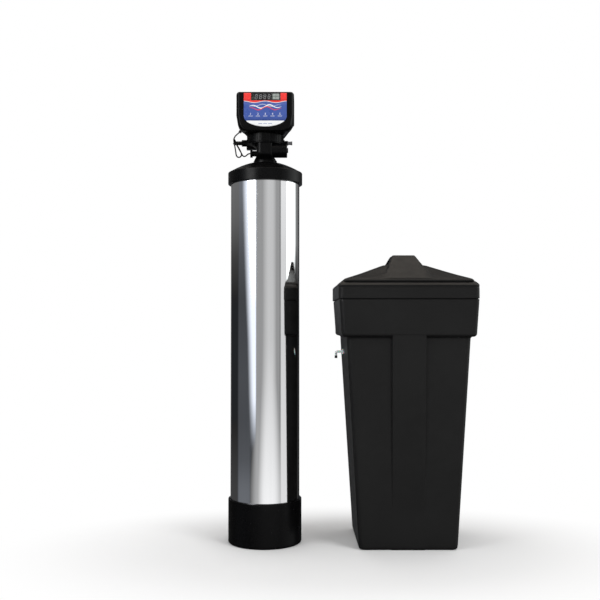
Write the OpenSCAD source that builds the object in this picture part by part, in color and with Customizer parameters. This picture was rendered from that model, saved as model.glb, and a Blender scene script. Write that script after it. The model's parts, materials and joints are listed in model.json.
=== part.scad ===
// Domestic water softener: a steel jacketed resin tank with a rotary disc control valve,
// and a separate salt tank. Millimetres, Z up, front towards -Y.
// The origin is the centre of the resin tank's foot, on the floor.

/* [Resin tank] */
// Outside diameter of the steel jacket
shell_d = 257; // [240:1:280]
// Height of the pressure vessel's neck above the floor
neck_z = 1406; // [1200:1:1500]
// Thickness of the pressure vessel's wound wall
liner_t = 4; // [3:0.5:6]
// Thickness of the steel jacket
jacket_t = 0.8; // [0.6:0.1:1.2]
// Height of the foot boot
boot_h = 161.4; // [150:0.2:180]
// How far the boot stands out beyond the jacket
boot_over = 7.9; // [5:0.1:10]
// How far the top collar stands out beyond the jacket
collar_over = 10.8; // [8:0.1:13]
// Height of the top collar's straight band
collar_h = 42.5; // [34:0.5:50]
// Outside diameter of the riser tube
riser_d = 26.7; // [25:0.1:28]
// Height of the resin bed above the gravel
resin_h = 760; // [600:10:860]

/* [Control valve] */
// Diameter of the valve's neck
valve_neck_d = 62; // [60:1:66]
// Height of the valve's neck above its base flange
valve_neck_h = 45; // [42:1:48]
// Outside diameter of the ribbed fastening ring
ring_d = 138; // [136:1:144]
// Height of the fastening ring
ring_h = 33; // [32:1:38]
// Number of ribs on the fastening ring
ring_ribs = 44; // [24:1:56]
// Diameter of the side barrel that holds the injector
barrel_d = 54.4; // [48:0.2:56]
// Outside diameter of the inlet and outlet threads
port_d = 26.4; // [24:0.2:27]
// Teeth on the rotor's gear
gear_teeth = 48; // [42:1:50]
// Teeth on the motor's pinion
pinion_teeth = 16; // [14:1:18]
// Module of both gears
gear_module = 1.75; // [1.6:0.05:1.8]

/* [Control head] */
// Width of the control head
head_w = 214; // [200:1:230]
// Height of the control head
head_h = 148.5; // [142:0.5:160]
// Distance from the head's parting line to its front face
head_front = 55; // [50:1:65]
// Distance from the head's parting line to its rear face
head_rear = 92; // [86:1:100]
// Wall thickness of the head's two shells
head_t = 3; // [2:0.5:3.5]
// Width of the face label
label_w = 158; // [150:1:164]
// Width of the display window
window_w = 108; // [104:1:116]
// Height of the display window
window_h = 27; // [26:0.5:30]
// Travel of a key
key_travel = 1; // [0.5:0.1:1]
// Diameter of the sensor cable
cable_d = 4; // [3.6:0.1:4.2]

/* [Salt tank] */
// Free space between the boot and the salt tank's collar
unit_gap = 135; // [60:5:300]
// Width of the salt tank at the floor
cab_foot_w = 352; // [330:1:370]
// Depth of the salt tank at the floor
cab_foot_d = 340; // [320:1:350]
// Width of the salt tank under its collar
cab_neck_w = 441; // [420:1:450]
// Depth of the salt tank under its collar
cab_neck_d = 400; // [380:1:410]
// Height of the collar's lower edge
cab_neck_z = 763; // [700:1:820]
// How far the collar steps out from the wall below it
collar_step = 19; // [16:0.5:22]
// Width of the collar at its top
collar_top_w = 495; // [490:1:510]
// Depth of the collar at its top
collar_top_d = 446; // [440:1:460]
// Height of the collar from its lower edge
cab_collar_h = 135; // [110:1:160]
// Wall thickness of the salt tank
cab_t = 4; // [3:0.5:5]
// Width of the pilaster on the front
pilaster_w = 122; // [90:1:150]
// Height of the lid's skirt
skirt_h = 44; // [38:1:50]
// Rise of the lid's hand ridge above its skirt
ridge_h = 121; // [110:1:140]
// Wall thickness of the lid
lid_t = 3.5; // [3:0.5:4]
// Outside diameter of the brine well
well_d = 114; // [104:1:120]
// Height of the brine well's top above the floor
well_z = 850; // [820:1:866]
// Height of the salt grid's top above the floor
grid_z = 156; // [120:1:200]
// Height of the overflow elbow's centre line
overflow_z = 704; // [640:1:715]
// Travel of the float
float_travel = 20; // [10:1:22]

/* [Hidden] */
$fn = 64;
e = 0.01;

// Clearances
slip = 0.3;
running = 0.05;

// Resin tank
shell_r = shell_d / 2;
liner_r = shell_r - jacket_t - 0.4;
boot_r = shell_r + boot_over;
boot_edge = 6;
boot_lip = 2.5;
boot_t = 4;
boot_seat_r = 70;
jacket_z = boot_h - 11;
foot_dome_h = 80;
foot_dome_z = 110;
foot_gap = 1.4;
collar_r = shell_r + collar_over;
collar_top = neck_z + 6.5;
collar_z = neck_z - 30 - collar_h;
collar_t = 3.5;
collar_rise = collar_top - collar_z - collar_h;
jacket_top = collar_z + 14;
top_dome_h = 72;
top_dome_z = neck_z - 88;
liner_neck_r = 40;
liner_bore_r = 34;
o_ring_r = 1.2;
riser_r = riser_d / 2;
gravel_top = foot_dome_z + 20;
resin_top = gravel_top + resin_h;

// Control valve, stacked from the neck
valve_z = neck_z + 0.5;
flange_h = 18.3;
flange_r = 44.5;
flange_top_r = 41.5;
neck_r = valve_neck_d / 2;
spigot_r = liner_bore_r - slip;
spigot_l = 22;
bowl_z = valve_z + flange_h + valve_neck_h;
bowl_h = 15;
ring_r = ring_d / 2;
ring_z = bowl_z + bowl_h;
cup_r = ring_r - 7;
cup_bore_r = cup_r - 10;
ring_top = ring_z + ring_h;
cup_top = ring_top - 12;
cup_floor = cup_top - 18;
seal_t = 2;
disc_t = 4;
disc_r = cup_bore_r - 4;
fixed_z = cup_floor + seal_t;
moving_z = fixed_z + disc_t;
drive_z = moving_z + disc_t;
drive_t = 5;
washer_z = drive_z + drive_t;
washer_t = 1;
bonnet_z = washer_z + washer_t;
bonnet_top = cup_top + 5;
shaft_r = 10;
passage_r = 12;
riser_stop = valve_z + 24;
annulus_r = 28;
annulus_top = valve_z + 9;
socket_r = riser_r + 4;
port_r = port_d / 2;
port_x = 28;
port_y = ring_r + 3;
port_l = 26;
port_z = ring_top - port_r - 1.6;
port_bore_r = port_r - 3.7;
barrel_r = barrel_d / 2;
barrel_y = -30;
barrel_z = ring_z - 0.6 - barrel_r;
barrel_x = 66;
barrel_cap_l = 17;
barrel_bore_r = 9;
throat_x = 18.2;
nozzle_x = throat_x + 16.8;
screen_x = nozzle_x + 12.1;
side_y = 32;
side_z = ring_z + 12;
side_wall_x = 72;
drain_x = 84;
probe_z = bowl_z - 19;
probe_x = 48;
probe_r = 8;
probe_boss_r = 10.5;

// Gear train
gear_r = gear_module * gear_teeth / 2;
pinion_r = gear_module * pinion_teeth / 2;
mesh_play = 0.25;
gear_distance = gear_r + pinion_r + mesh_play;
pinion_angle = 20;
pinion_x = gear_distance * cos(pinion_angle);
pinion_y = gear_distance * sin(pinion_angle);
pinion_phase = pinion_angle * (1 + gear_teeth / pinion_teeth) + 180 - 180 / pinion_teeth;
pinion_bore_r = 3;
tooth_top = 0.8 * gear_module;
tooth_root = 1.15 * gear_module;
gear_t = 8;

// Control head
head_x = 2;
head_z = ring_top + slip;
head_top = head_z + head_h;
part_y = -30;
front_y = part_y - head_front;
rear_y = part_y + head_rear;
floor_t = 4;
knee_z = head_z + 62.6;
low_r = 36;
low_x = head_w / 2 - 5.3 - low_r * cos(10);
top_r = 10;
gear_z = head_z + floor_t + 16;
board_z = gear_z + gear_t + 7;
motor_z = board_z + 5;
motor_r = 21;
motor_h = 28;
motor_ear = 26;
board_r = gear_r + 8;
post_r = 3;
label_t = 0.8;
label_x = head_x + 1;
label_top = head_top - 7;
label_low = head_z + 17;
label_curve = 38;
window_x = label_x + 2;
window_t = 1.5;
window_z = label_top - 0.6 - window_h / 2;
window_y = front_y + 0.5;
ledge = 1;
key_w = 11.4;
key_h = 10;
key_pitch_x = 12.6;
key_pitch_z = 11;
key_x = window_x + window_w / 2 - 10.4 - key_pitch_x;
key_z = window_z - key_pitch_z / 2;
key_flange = 0.3;
digit_h = 17;
digit_w = 12;
digit_pitch = 15.6;
digit_x = window_x - window_w / 2 + 13;
control_y = front_y + 10;
groove_n = 5;
groove_pitch = 11;
screw_r = 1.8;
screw_y = part_y + 12;
boss_r = 5.5;
SCREWS = [[-head_w / 2 + 8.2, head_top - 14], [head_w / 2 - 8.2, head_top - 14],
    [-low_x + 2, head_z + 8], [low_x - 2, head_z + 8]];
gland_angle = 50;
gland_y = -20;
gland_l = 7;
gland_r = 5;
gland_x = head_x - low_x - low_r * sin(gland_angle);
gland_z = head_z + low_r - low_r * cos(gland_angle);
gland_dir = [-sin(gland_angle), 0, -cos(gland_angle)];

// The sensor cable's route, chosen by hand
CABLE = [[-106, -20.5, 1519], [-113.5, -21.5, 1510.5], [-117, -23.5, 1499], [-115.5, -25.8, 1486],
    [-112, -27.5, 1468], [-109.3, -28, 1452], [-108, -28, 1442], [-104.8, -27.6, 1434.8], [-98, -27.2, 1432],
    [-91.2, -26.8, 1434.8], [-88.3, -26.3, 1442], [-89.8, -25.5, 1450], [-98, -23, 1467], [-109, -20.6, 1484],
    [-114, -18.8, 1493], [-117, -15.5, 1500.5], [-117, -9.5, 1503.6], [-114.5, -3, 1500.8], [-111, -0.8, 1493.5],
    [-107.5, -3, 1484], [-101, -9.5, 1471], [-93, -13.5, 1456.5], [-89.4, -13.8, 1450.2], [-86.8, -13.4, 1444.8],
    [-84.2, -12.5, 1441], [-80.6, -11.2, 1438.9], [-76.4, -9.4, 1438.9], [-72.8, -7.3, 1441.1], [-69, -4.8, 1444.9],
    [-65, -2, 1448.8]];
tie_at = [-111.8, -23.6, 1484];
tie_size = [13, 10.6, 4.5];
tie_t = 1.2;

// Salt tank
cab_x = boot_r + unit_gap + collar_top_w / 2;
cab_y = 32;
cab_r = 28;
cab_edge = 10;
fillet_r = 7;
collar_z2 = cab_neck_z + cab_collar_h;
rim_w = collar_top_w - 9;
rim_d = collar_top_d - 9;
rim_h = 37;
rim_z = collar_z2 + rim_h;
lid_w = collar_top_w + 6.5;
lid_d = collar_top_d + 8;
lid_z = collar_z2 + 3;
lid_r = 30;
riser_w = lid_w - 34;
riser_d2 = lid_d - 30;
riser_z = lid_z + skirt_h + 22;
roof_w = 152;
roof_d = 144;
roof_z = lid_z + ridge_h + 6;
ridge_z = lid_z + skirt_h + ridge_h;
ridge_foot_w = 180;
ridge_w = 82;
ridge_l = 104;
grip_w = 68;
grip_l = 78;
pilaster_z = 133;
pilaster_r = 6;
pilaster_t = 3.5;
well_r = well_d / 2;
well_t = 3;
well_x = 105;
well_y = 82;
grid_t = 6;
grid_gap = 2;
leg_r = 25;
leg_x = 112;
leg_y = 105;
pickup_x = -30;
pickup_r = 6;
rod_x = 14;
rod_r = 2.5;
valve_arm_z = 652;
arm_r = 8;
float_r = 25;
float_h = 60;
float_z = 480;
overflow_r = 8;
overflow_out = 39;
nut_r = 15;

// Points of an arc about a centre, from one angle to another
function arc(centre, r, from, to, n = 6) =
    [for (i = [0:n]) let (a = from + (to - from) * i / n) centre + r * [cos(a), sin(a)]];

// The height of an ellipse's rise at a radius
function dome(r, r_max, rise) = rise * sqrt(max(0, 1 - pow(r / r_max, 2)));

// A rounded rectangle at a height, anticlockwise from above
function ring_at(half_w, half_d, r, z, n = 6) =
    [for (q = [0:3], i = [0:n])
        let (a = 90 * q + 90 * i / n, sx = q == 0 || q == 3 ? 1 : -1, sy = q < 2 ? 1 : -1)
        [sx * (half_w - r) + r * cos(a), sy * (half_d - r) + r * sin(a), z]];

// A closed skin through rings of equally many points
module skin(rings) {
    n = len(rings[0]);
    m = len(rings);
    sides = [for (k = [0:m - 2], i = [0:n - 1])
        let (j = (i + 1) % n, a = k * n + i, b = k * n + j, c = (k + 1) * n + j, d = (k + 1) * n + i)
        each [[a, d, c], [a, c, b]]];
    low = [for (i = [0:n - 1]) i];
    high = [for (i = [0:n - 1]) m * n - 1 - i];
    polyhedron([for (r = rings) each r], concat([low, high], sides), convexity = 6);
}

module turned(profile) {
    rotate_extrude() polygon(profile);
}

module tube(r, bore, h) {
    difference() {
        cylinder(r = r, h = h);
        translate([0, 0, -1]) cylinder(r = bore, h = h + 2);
    }
}

// A cylinder along X or along Y, from a point
module along_x(r, l) {
    rotate([0, 90, 0]) cylinder(r = r, h = l);
}

module along_y(r, l) {
    rotate([-90, 0, 0]) cylinder(r = r, h = l);
}

module hexagon(across, h) {
    cylinder(d = across / cos(30), h = h, $fn = 6);
}

// Ring of vertical slots through a wall
module slots(n, r_in, r_out, w, z, h) {
    for (i = [0:n - 1])
        rotate([0, 0, 360 * i / n]) translate([r_in, -w / 2, z]) cube([r_out - r_in, w, h]);
}

module tank_boot() {
    color("#141414") difference() {
        turned(concat(
            [[0, 0]],
            arc([boot_r - boot_edge, boot_edge], boot_edge, -90, 0),
            arc([boot_r - boot_lip, boot_h - boot_lip], boot_lip, 0, 90),
            [[shell_r + slip, boot_h], [shell_r + slip, jacket_z], [liner_r + slip, jacket_z],
                [liner_r + slip, foot_dome_z]],
            foot_curve(0, -slip, -10, -50), [[boot_seat_r, boot_t], [0, boot_t]]));
        // The hollow under the seat, with its drain holes
        turned(concat([[boot_seat_r + boot_t, boot_t], [boot_r - boot_t, boot_t], [boot_r - boot_t, foot_dome_z - 18]],
            foot_curve(0, -boot_t - slip, -10, -50)));
        for (a = [45:90:315])
            rotate([0, 0, a]) translate([boot_seat_r + 16, 0, -1]) cylinder(r = 8, h = 8);
    }
}

module tank_jacket() {
    color("#c9ced2") translate([0, 0, jacket_z + e]) tube(shell_r, shell_r - jacket_t, jacket_top - jacket_z - e);
}

// The vessel's lower dome drawn in by t and raised, between two angles
function foot_curve(t, up, from, to) = [for (a = [from:(to > from ? 10 : -10):to])
    [(liner_r - t) * cos(a), foot_dome_z + (foot_dome_h - t) * sin(a) + up]];

// Inside and outside of the vessel, drawn in by t
function vessel(t) = concat(
    [for (a = [-90:10:0]) [max(0, (liner_r - t) * cos(a)), foot_dome_z + (foot_dome_h - t) * sin(a)]],
    [for (a = [0:10:60]) [(liner_r - t) * cos(a), top_dome_z + (top_dome_h - t) * sin(a)]]);

module pressure_tank() {
    color("#d8d2b8") difference() {
        turned(concat(vessel(0), [[liner_neck_r, top_dome_z + dome(liner_neck_r, liner_r, top_dome_h)],
            [liner_neck_r, neck_z], [0, neck_z]]));
        turned(concat(vessel(liner_t), [[liner_bore_r, top_dome_z + dome(liner_bore_r, liner_r, top_dome_h) - liner_t],
            [liner_bore_r, neck_z - 20], [0, neck_z - 20]]));
        translate([0, 0, neck_z - 21]) cylinder(r = liner_bore_r, h = 30);
        translate([0, 0, neck_z - 2 * o_ring_r]) cylinder(r = liner_bore_r + 3, h = 10);
    }
}

function collar_dome(r) = let (r0 = liner_neck_r + 5, q = max(0, r - r0) / (collar_r - 3 - r0))
    collar_z + collar_h + collar_rise * (1 - q * q);

module tank_collar() {
    steps = 8;
    r0 = liner_neck_r + 5;
    r1 = collar_r - 3;
    color("#181818") turned(concat(
        [[shell_r + slip, collar_z]],
        arc([collar_r - 4, collar_z + 4], 4, -90, 0),
        arc([collar_r - 3, collar_z + collar_h - 3], 3, 0, 60, 3),
        [for (i = [0:steps]) let (r = r1 + (r0 - r1) * i / steps) [r, collar_dome(r)]],
        [for (i = [steps:-1:0]) let (r = r1 - 2 + (r0 - r1 + 2) * i / steps) [r, collar_dome(r) - collar_t]],
        [[collar_r - collar_t, collar_z + collar_h - 8], [collar_r - collar_t, jacket_top + 8],
            [shell_r - 5, jacket_top + 8], [shell_r - 5, jacket_top + slip],
            [shell_r + slip, jacket_top + slip]]));
}

module neck_o_ring() {
    color("#202020") translate([0, 0, neck_z - o_ring_r + 0.05])
        rotate_extrude() translate([liner_bore_r + o_ring_r + 0.15, 0]) circle(r = o_ring_r, $fn = 24);
}

module riser_tube() {
    low = foot_dome_z - foot_dome_h + liner_t + foot_gap + 52.1;
    color("#e6e6e2") translate([0, 0, low]) tube(riser_r, riser_r - 1.9, riser_stop - low - 0.1);
}

module lower_distributor() {
    low = foot_dome_z - foot_dome_h + liner_t + foot_gap;
    color("#2b2b2b") translate([0, 0, low]) difference() {
        turned([[0, 0], [16, 0], [30, 6], [30, 46], [riser_r + 3, 60], [riser_r + 3, 84],
            [riser_r + 0.1, 84], [riser_r + 0.1, 52], [riser_r - 3, 52], [27, 42], [27, 8], [0, 4]]);
        slots(24, 25, 32, 1.2, 12, 27);
    }
}

module gravel_bed() {
    low = foot_dome_z - foot_dome_h + liner_t;
    inner = liner_r - liner_t - 0.2;
    color("#9a8f7c") turned(concat(
        foot_curve(liner_t + 0.2, slip, -70, 0), [[inner, gravel_top], [riser_r + 3.4, gravel_top], [riser_r + 3.4, low + 66],
            [30.4, low + 48], [30.4, low + 12]]));
}

module resin_bed() {
    inner = liner_r - liner_t - 0.2;
    color("#b5712c") translate([0, 0, gravel_top + e]) tube(inner, riser_r + 3.6, resin_h);
}

module upper_basket() {
    low = valve_z - spigot_l - 34;
    color("#2b2b2b") translate([0, 0, low]) difference() {
        turned([[riser_r + 0.2, 0], [22, 0], [31, 8], [31, 33], [annulus_r - 0.2, 34], [annulus_r - 0.2, 46],
            [annulus_r - 2.4, 46], [annulus_r - 2.4, 34], [28.6, 32], [28.6, 9.5], [21, 2.6],
            [riser_r + 0.2, 2.6]]);
        slots(28, 27, 33, 1.2, 11, 19);
    }
}

// Two plates side by side with round ends, joined to a round arm below
module port_outline() {
    for (s = [-1, 1]) translate([s * port_x, port_z - ring_z]) circle(r = port_r + 1);
    polygon([[-port_x, port_z - ring_z + port_r + 1], [-port_x, port_z - ring_z - port_r + 2],
        [-18, -14], [18, -14], [port_x, port_z - ring_z - port_r + 2],
        [port_x, port_z - ring_z + port_r + 1]]);
    translate([0, -22]) circle(r = 20);
}

module valve_outer() {
    translate([0, 0, valve_z]) turned([[0, -spigot_l], [spigot_r - 1.5, -spigot_l], [spigot_r, -spigot_l + 1.5],
        [spigot_r, 0], [flange_r, 0], [flange_r, 2], [flange_top_r, flange_h - 2], [flange_top_r - 2, flange_h],
        [neck_r, flange_h], [neck_r, flange_h + valve_neck_h - 6], [neck_r + 2, flange_h + valve_neck_h],
        [neck_r + 14.5, bowl_z - valve_z + 7], [ring_r - 8, bowl_z - valve_z + 11],
        [ring_r - 1, ring_z - valve_z - 2.5], [ring_r - 1, ring_z - valve_z - 0.3],
        [cup_r, ring_z - valve_z - 0.3], [cup_r, cup_top - valve_z], [0, cup_top - valve_z]]);
    // Rear manifold with the two threaded ports
    translate([0, port_y + 14, ring_z]) rotate([90, 0, 0]) linear_extrude(13.4) port_outline();
    translate([0, 0, ring_z - 22]) along_y(20, port_y + 14);
    for (s = [-1, 1]) translate([s * port_x, port_y + 13, port_z]) along_y(port_r, port_l);
    // Side walls that carry the brine fitting and the drain stub
    for (s = [-1, 1]) mirror([s < 0 ? 1 : 0, 0, 0]) {
        translate([34, side_y - 12, bowl_z + 2]) cube([side_wall_x - 34, 24, bowl_h - 2.5]);
        translate([side_wall_x - 4.6, side_y - 12, bowl_z + 2]) cube([4.6, 24, side_z - bowl_z + 9]);
    }
    translate([side_wall_x, side_y, side_z]) along_x(9, drain_x - side_wall_x);
    // Barrel for the injector
    translate([8, barrel_y, barrel_z]) along_x(barrel_r, barrel_x - 8);
    translate([8, barrel_y, barrel_z - 14]) cube([30, 24, 28]);
    // Boss for the flow meter probe
    translate([-probe_x, 0, probe_z]) along_x(probe_boss_r, 26);
}

module valve_body() {
    color("#17181a") difference() {
        valve_outer();
        translate([0, 0, cup_floor]) cylinder(r = cup_bore_r, h = 30);
        translate([0, 0, riser_stop]) cylinder(r = passage_r, h = cup_floor - riser_stop + 1);
        translate([0, 0, valve_z - spigot_l - 1]) cylinder(r = riser_r + 0.1, h = riser_stop - valve_z + spigot_l + 1);
        translate([0, 0, valve_z - spigot_l - 1]) tube(annulus_r, socket_r, annulus_top - valve_z + spigot_l);
        for (a = [30:60:330])
            rotate([0, 0, a]) translate([30, 0, cup_floor - 9]) cylinder(r = 7, h = 12);
        for (s = [-1, 1]) translate([s * port_x, port_y + 3, port_z]) along_y(port_bore_r, port_l + 20);
        translate([-probe_x - 1, 0, probe_z]) along_x(probe_r + running, 24);
        translate([throat_x - 0.2, barrel_y, barrel_z]) along_x(barrel_bore_r, barrel_x);
        translate([-side_wall_x - 1, side_y, side_z]) along_x(6.2, 6);
        translate([side_wall_x - 6, side_y, side_z]) along_x(6.2, drain_x - side_wall_x + 10);
    }
}

module fastening_ring() {
    bore_r = cup_r + slip;
    color("#1b1c1e") translate([0, 0, ring_z]) difference() {
        union() {
            turned([[bore_r, 0], [ring_r - 3.4, 0], [ring_r - 1.6, 1.6], [ring_r - 1.6, ring_h - 1.2],
                [ring_r - 2.8, ring_h], [bore_r - 8, ring_h], [bore_r - 8, bonnet_top - ring_z + slip],
                [bore_r, bonnet_top - ring_z + slip]]);
            for (i = [0:ring_ribs - 1])
                rotate([0, 0, 360 * i / ring_ribs]) translate([ring_r - 2.6, -1.5, 2]) cube([2.6, 3, ring_h - 4]);
        }
        for (a = [0:60:300]) rotate([0, 0, a]) translate([bore_r - 4, 0, ring_h - 3]) cylinder(r = 2, h = 9);
    }
}

module bonnet() {
    color("#222326") difference() {
        turned([[shaft_r + running, bonnet_z], [cup_bore_r - slip, bonnet_z], [cup_bore_r - slip, cup_top + e],
            [cup_r - 0.5, cup_top + e], [cup_r - 0.5, bonnet_top], [30, bonnet_top], [20, bonnet_top + 1.6],
            [shaft_r + running, bonnet_top + 1.6]]);
        translate([0, 0, bonnet_z + 1]) rotate_extrude() translate([cup_bore_r + 0.3, 1]) circle(r = 1.2, $fn = 24);
    }
}

module disc_seal() {
    color("#303030") translate([0, 0, cup_floor + e]) difference() {
        cylinder(r = cup_bore_r - slip, h = seal_t - e);
        translate([0, 0, -1]) cylinder(r = passage_r, h = 5);
        for (a = [30:60:330]) rotate([0, 0, a]) translate([30, 0, -1]) cylinder(r = 7.5, h = 5);
    }
}

module fixed_disc() {
    color("#e9e7df") translate([0, 0, fixed_z + e]) difference() {
        cylinder(r = disc_r, h = disc_t - e);
        translate([0, 0, -1]) cylinder(r = 10, h = 9);
        for (a = [30:60:330]) rotate([0, 0, a]) translate([30, 0, -1]) cylinder(r = 7, h = 9);
    }
}

module moving_disc() {
    color("#dcdad0") translate([0, 0, moving_z + e]) difference() {
        cylinder(r = disc_r - 1, h = disc_t - 2 * e);
        rotate([0, 0, 30]) translate([30, 0, -1]) cylinder(r = 7, h = 9);
        rotate([0, 0, 150]) translate([0, -6, -1]) cube([36, 12, 3]);
        translate([0, 0, 2]) rotate([0, 0, 210]) translate([14, -3, 0]) cube([18, 6, 4]);
    }
}

module rotor_shaft() {
    color("#3a3b3d") difference() {
        union() {
            translate([0, 0, drive_z]) cylinder(r = disc_r - 2, h = drive_t - e);
            translate([0, 0, drive_z]) cylinder(r = shaft_r, h = gear_z + gear_t + 6 - drive_z);
            translate([0, 0, drive_z - 1.6]) rotate([0, 0, 210]) translate([15, -2.8, 0]) cube([16, 5.6, 2]);
        }
        for (z = [bonnet_z + 1.4, bonnet_z + 5]) translate([0, 0, z]) tube(shaft_r + 1, shaft_r - 1.6, 1.8);
        for (i = [0:11]) rotate([0, 0, 30 * i]) translate([disc_r - 8, 0, drive_z + 2]) cylinder(r = 2.5, h = 9);
    }
}

module friction_washer() {
    color("#f2efe6") translate([0, 0, washer_z]) tube(shaft_r + 12, shaft_r + 0.3, washer_t - e);
}

// Half the angle that a tooth of an involute gear takes up at a radius
function roll(r, base) = let (t = sqrt(max(0, pow(r / base, 2) - 1))) t * 180 / PI - atan(t);
function tooth_half(r, pitch, teeth, play) = let (base = pitch * cos(20))
    (90 / teeth - play / pitch * 180 / PI) + roll(pitch, base) - roll(max(r, base), base);

module gear_outline(pitch, teeth, play) {
    steps = 3;
    low = pitch - tooth_root;
    high = pitch + tooth_top;
    polygon([for (i = [0:teeth - 1], side = [-1, 1], k = [0:steps])
        let (q = side < 0 ? k : steps - k, r = low + (high - low) * q / steps,
            a = 360 * i / teeth + side * tooth_half(r, pitch, teeth, play)) r * [cos(a), sin(a)]]);
}

module drive_gear() {
    color("#efeee8") translate([0, 0, gear_z]) difference() {
        union() {
            linear_extrude(gear_t) gear_outline(gear_r, gear_teeth, 0.12);
            translate([0, 0, -4]) cylinder(r = shaft_r + 6, h = gear_t + 8);
        }
        translate([0, 0, -5]) cylinder(r = shaft_r + 0.02, h = gear_t + 10);
        for (side = [-1, gear_t - 2]) translate([0, 0, side]) tube(gear_r - 12, shaft_r + 9, 3);
    }
}

module position_magnets() {
    color("#8d9094") translate([0, 0, gear_z + gear_t + e])
        for (a = [0, 50, 120, 190, 260]) rotate([0, 0, a]) translate([gear_r - 7, 0, 0]) cylinder(r = 3, h = 3);
}

module drive_pinion() {
    color("#efeee8") translate([pinion_x, pinion_y, gear_z]) {
        rotate([0, 0, pinion_phase]) linear_extrude(gear_t) gear_outline(pinion_r, pinion_teeth, 0.12);
        translate([0, 0, -4]) cylinder(r = pinion_bore_r, h = motor_z + 8 - gear_z + 4);
    }
}

module gear_motor() {
    a = pinion_angle + 90;
    color("#b9bcc0") translate([pinion_x, pinion_y, motor_z]) difference() {
        union() {
            cylinder(r = motor_r, h = motor_h);
            rotate([0, 0, a]) for (s = [-1, 1]) hull() {
                cylinder(r = 8, h = 2, $fn = 32);
                translate([s * motor_ear, 0, 0]) cylinder(r = 5, h = 2, $fn = 32);
            }
            translate([0, 0, motor_h]) cylinder(r = 7, h = 5);
        }
        translate([0, 0, -1]) cylinder(r = pinion_bore_r + running, h = 11);
    }
}

module meter_cage() {
    color("#e8e8e8") translate([0, 0, riser_stop + 0.1]) {
        tube(passage_r - 0.1, passage_r - 2.2, 4);
        for (a = [0:120:240]) rotate([0, 0, a]) translate([2, -0.8, 0.5]) cube([passage_r - 3, 1.6, 3]);
        cylinder(r = 3, h = 4);
        translate([0, 0, 3]) cylinder(r = 1.2, h = 19);
    }
}

module meter_turbine() {
    color("#3f78b8") translate([0, 0, riser_stop + 4.3]) difference() {
        union() {
            cylinder(r = 3.4, h = 15);
            for (i = [0:5]) rotate([0, 0, 60 * i]) translate([2, -0.5, 1]) rotate([18, 0, 0]) cube([8.6, 1, 12]);
        }
        translate([0, 0, -1]) cylinder(r = 1.2 + running, h = 18);
    }
}

module meter_probe() {
    color("#141416") translate([-probe_x, 0, probe_z]) difference() {
        union() {
            translate([-8.3, 0, 0]) along_x(15, 8.2);
            translate([-1, 0, 0]) along_x(probe_r, 23);
        }
        for (i = [0:11]) rotate([30 * i, 0, 0]) translate([-9, -1, 14]) cube([6.5, 2, 3]);
    }
}

module injector_throat() {
    color("#c83c32") translate([throat_x, barrel_y, barrel_z]) rotate([0, 90, 0]) difference() {
        turned([[0, 0], [barrel_bore_r - 0.1, 0], [barrel_bore_r - 0.1, 4], [6, 5], [6, 16], [0, 16]]);
        translate([0, 0, -1]) cylinder(r1 = 3.4, r2 = 1.8, h = 18);
    }
}

module injector_nozzle() {
    color("#d8d8d4") translate([nozzle_x, barrel_y, barrel_z]) rotate([0, 90, 0]) difference() {
        turned([[0, 0], [3, 0], [6, 6], [barrel_bore_r - 0.1, 7], [barrel_bore_r - 0.1, 12], [0, 12]]);
        translate([0, 0, -1]) cylinder(r = 1.1, h = 9);
        translate([0, 0, 7]) cylinder(r = 4, h = 9);
    }
}

module injector_screen() {
    l = barrel_x - 2.1 - screen_x;
    color("#bfc3c7") translate([screen_x, barrel_y, barrel_z]) rotate([0, 90, 0]) difference() {
        tube(barrel_bore_r - 0.4, barrel_bore_r - 1.6, l);
        slots(16, 5, 12, 1.2, 2, l - 4);
    }
}

module barrel_cap() {
    color("#151517") translate([barrel_x + e, barrel_y, barrel_z]) rotate([0, 90, 0]) difference() {
        union() {
            turned([[0, -2], [barrel_bore_r - 0.1, -2], [barrel_bore_r - 0.1, 0], [barrel_r - 1, 0],
                [barrel_r, 1], [barrel_r, barrel_cap_l - 2], [barrel_r - 2, barrel_cap_l], [0, barrel_cap_l]]);
            translate([0, 0, barrel_cap_l]) hexagon(16, 3.6);
        }
        for (a = [45:90:315]) rotate([0, 0, a]) translate([barrel_r - 6, 0, barrel_cap_l - 3]) cylinder(r = 2.6, h = 5);
    }
}

module hose_barb(r, l, n) {
    pitch = l / n;
    turned(concat([[0, 0]], [for (i = [0:n - 1]) each [[r, i * pitch], [r - 1.1, (i + 0.9) * pitch]]],
        [[r - 1.1, l], [0, l]]));
}

module brine_fitting() {
    color("#101012") translate([-side_wall_x - e, side_y, side_z]) rotate([0, -90, 0]) difference() {
        union() {
            hexagon(22, 18.5);
            translate([0, 0, -5]) cylinder(r = 6, h = 6);
            translate([0, 0, 18.5]) hose_barb(8, 28, 4);
        }
        translate([0, 0, -6]) cylinder(r = 3.2, h = 60);
    }
}

module brine_button() {
    color("#2f62ad") translate([-side_wall_x + 4.6, side_y, side_z]) rotate([0, -90, 0])
        difference() {
            cylinder(r = 3.1, h = 3);
            translate([0, 0, -1]) cylinder(r = 0.9, h = 5);
        }
}

module drain_stub() {
    color("#6a6c70") translate([side_wall_x - 4, side_y, side_z]) rotate([0, 90, 0]) difference() {
        union() {
            cylinder(r = 6.1, h = drain_x - side_wall_x + 4);
            translate([0, 0, drain_x - side_wall_x + 4]) turned([[0, 0], [8, 0], [8, 2.5], [6.4, 3], [6.4, 12.5],
                [7.4, 13], [7.4, 17.5], [0, 17.5]]);
        }
        translate([0, 0, -1]) cylinder(r = 4.2, h = 60);
    }
}

module drain_button() {
    color("#c24b3a") translate([side_wall_x - 2, side_y, side_z]) rotate([0, 90, 0]) difference() {
        cylinder(r = 4.1, h = 3);
        translate([0, 0, -1]) cylinder(r = 1.6, h = 5);
    }
}

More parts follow.
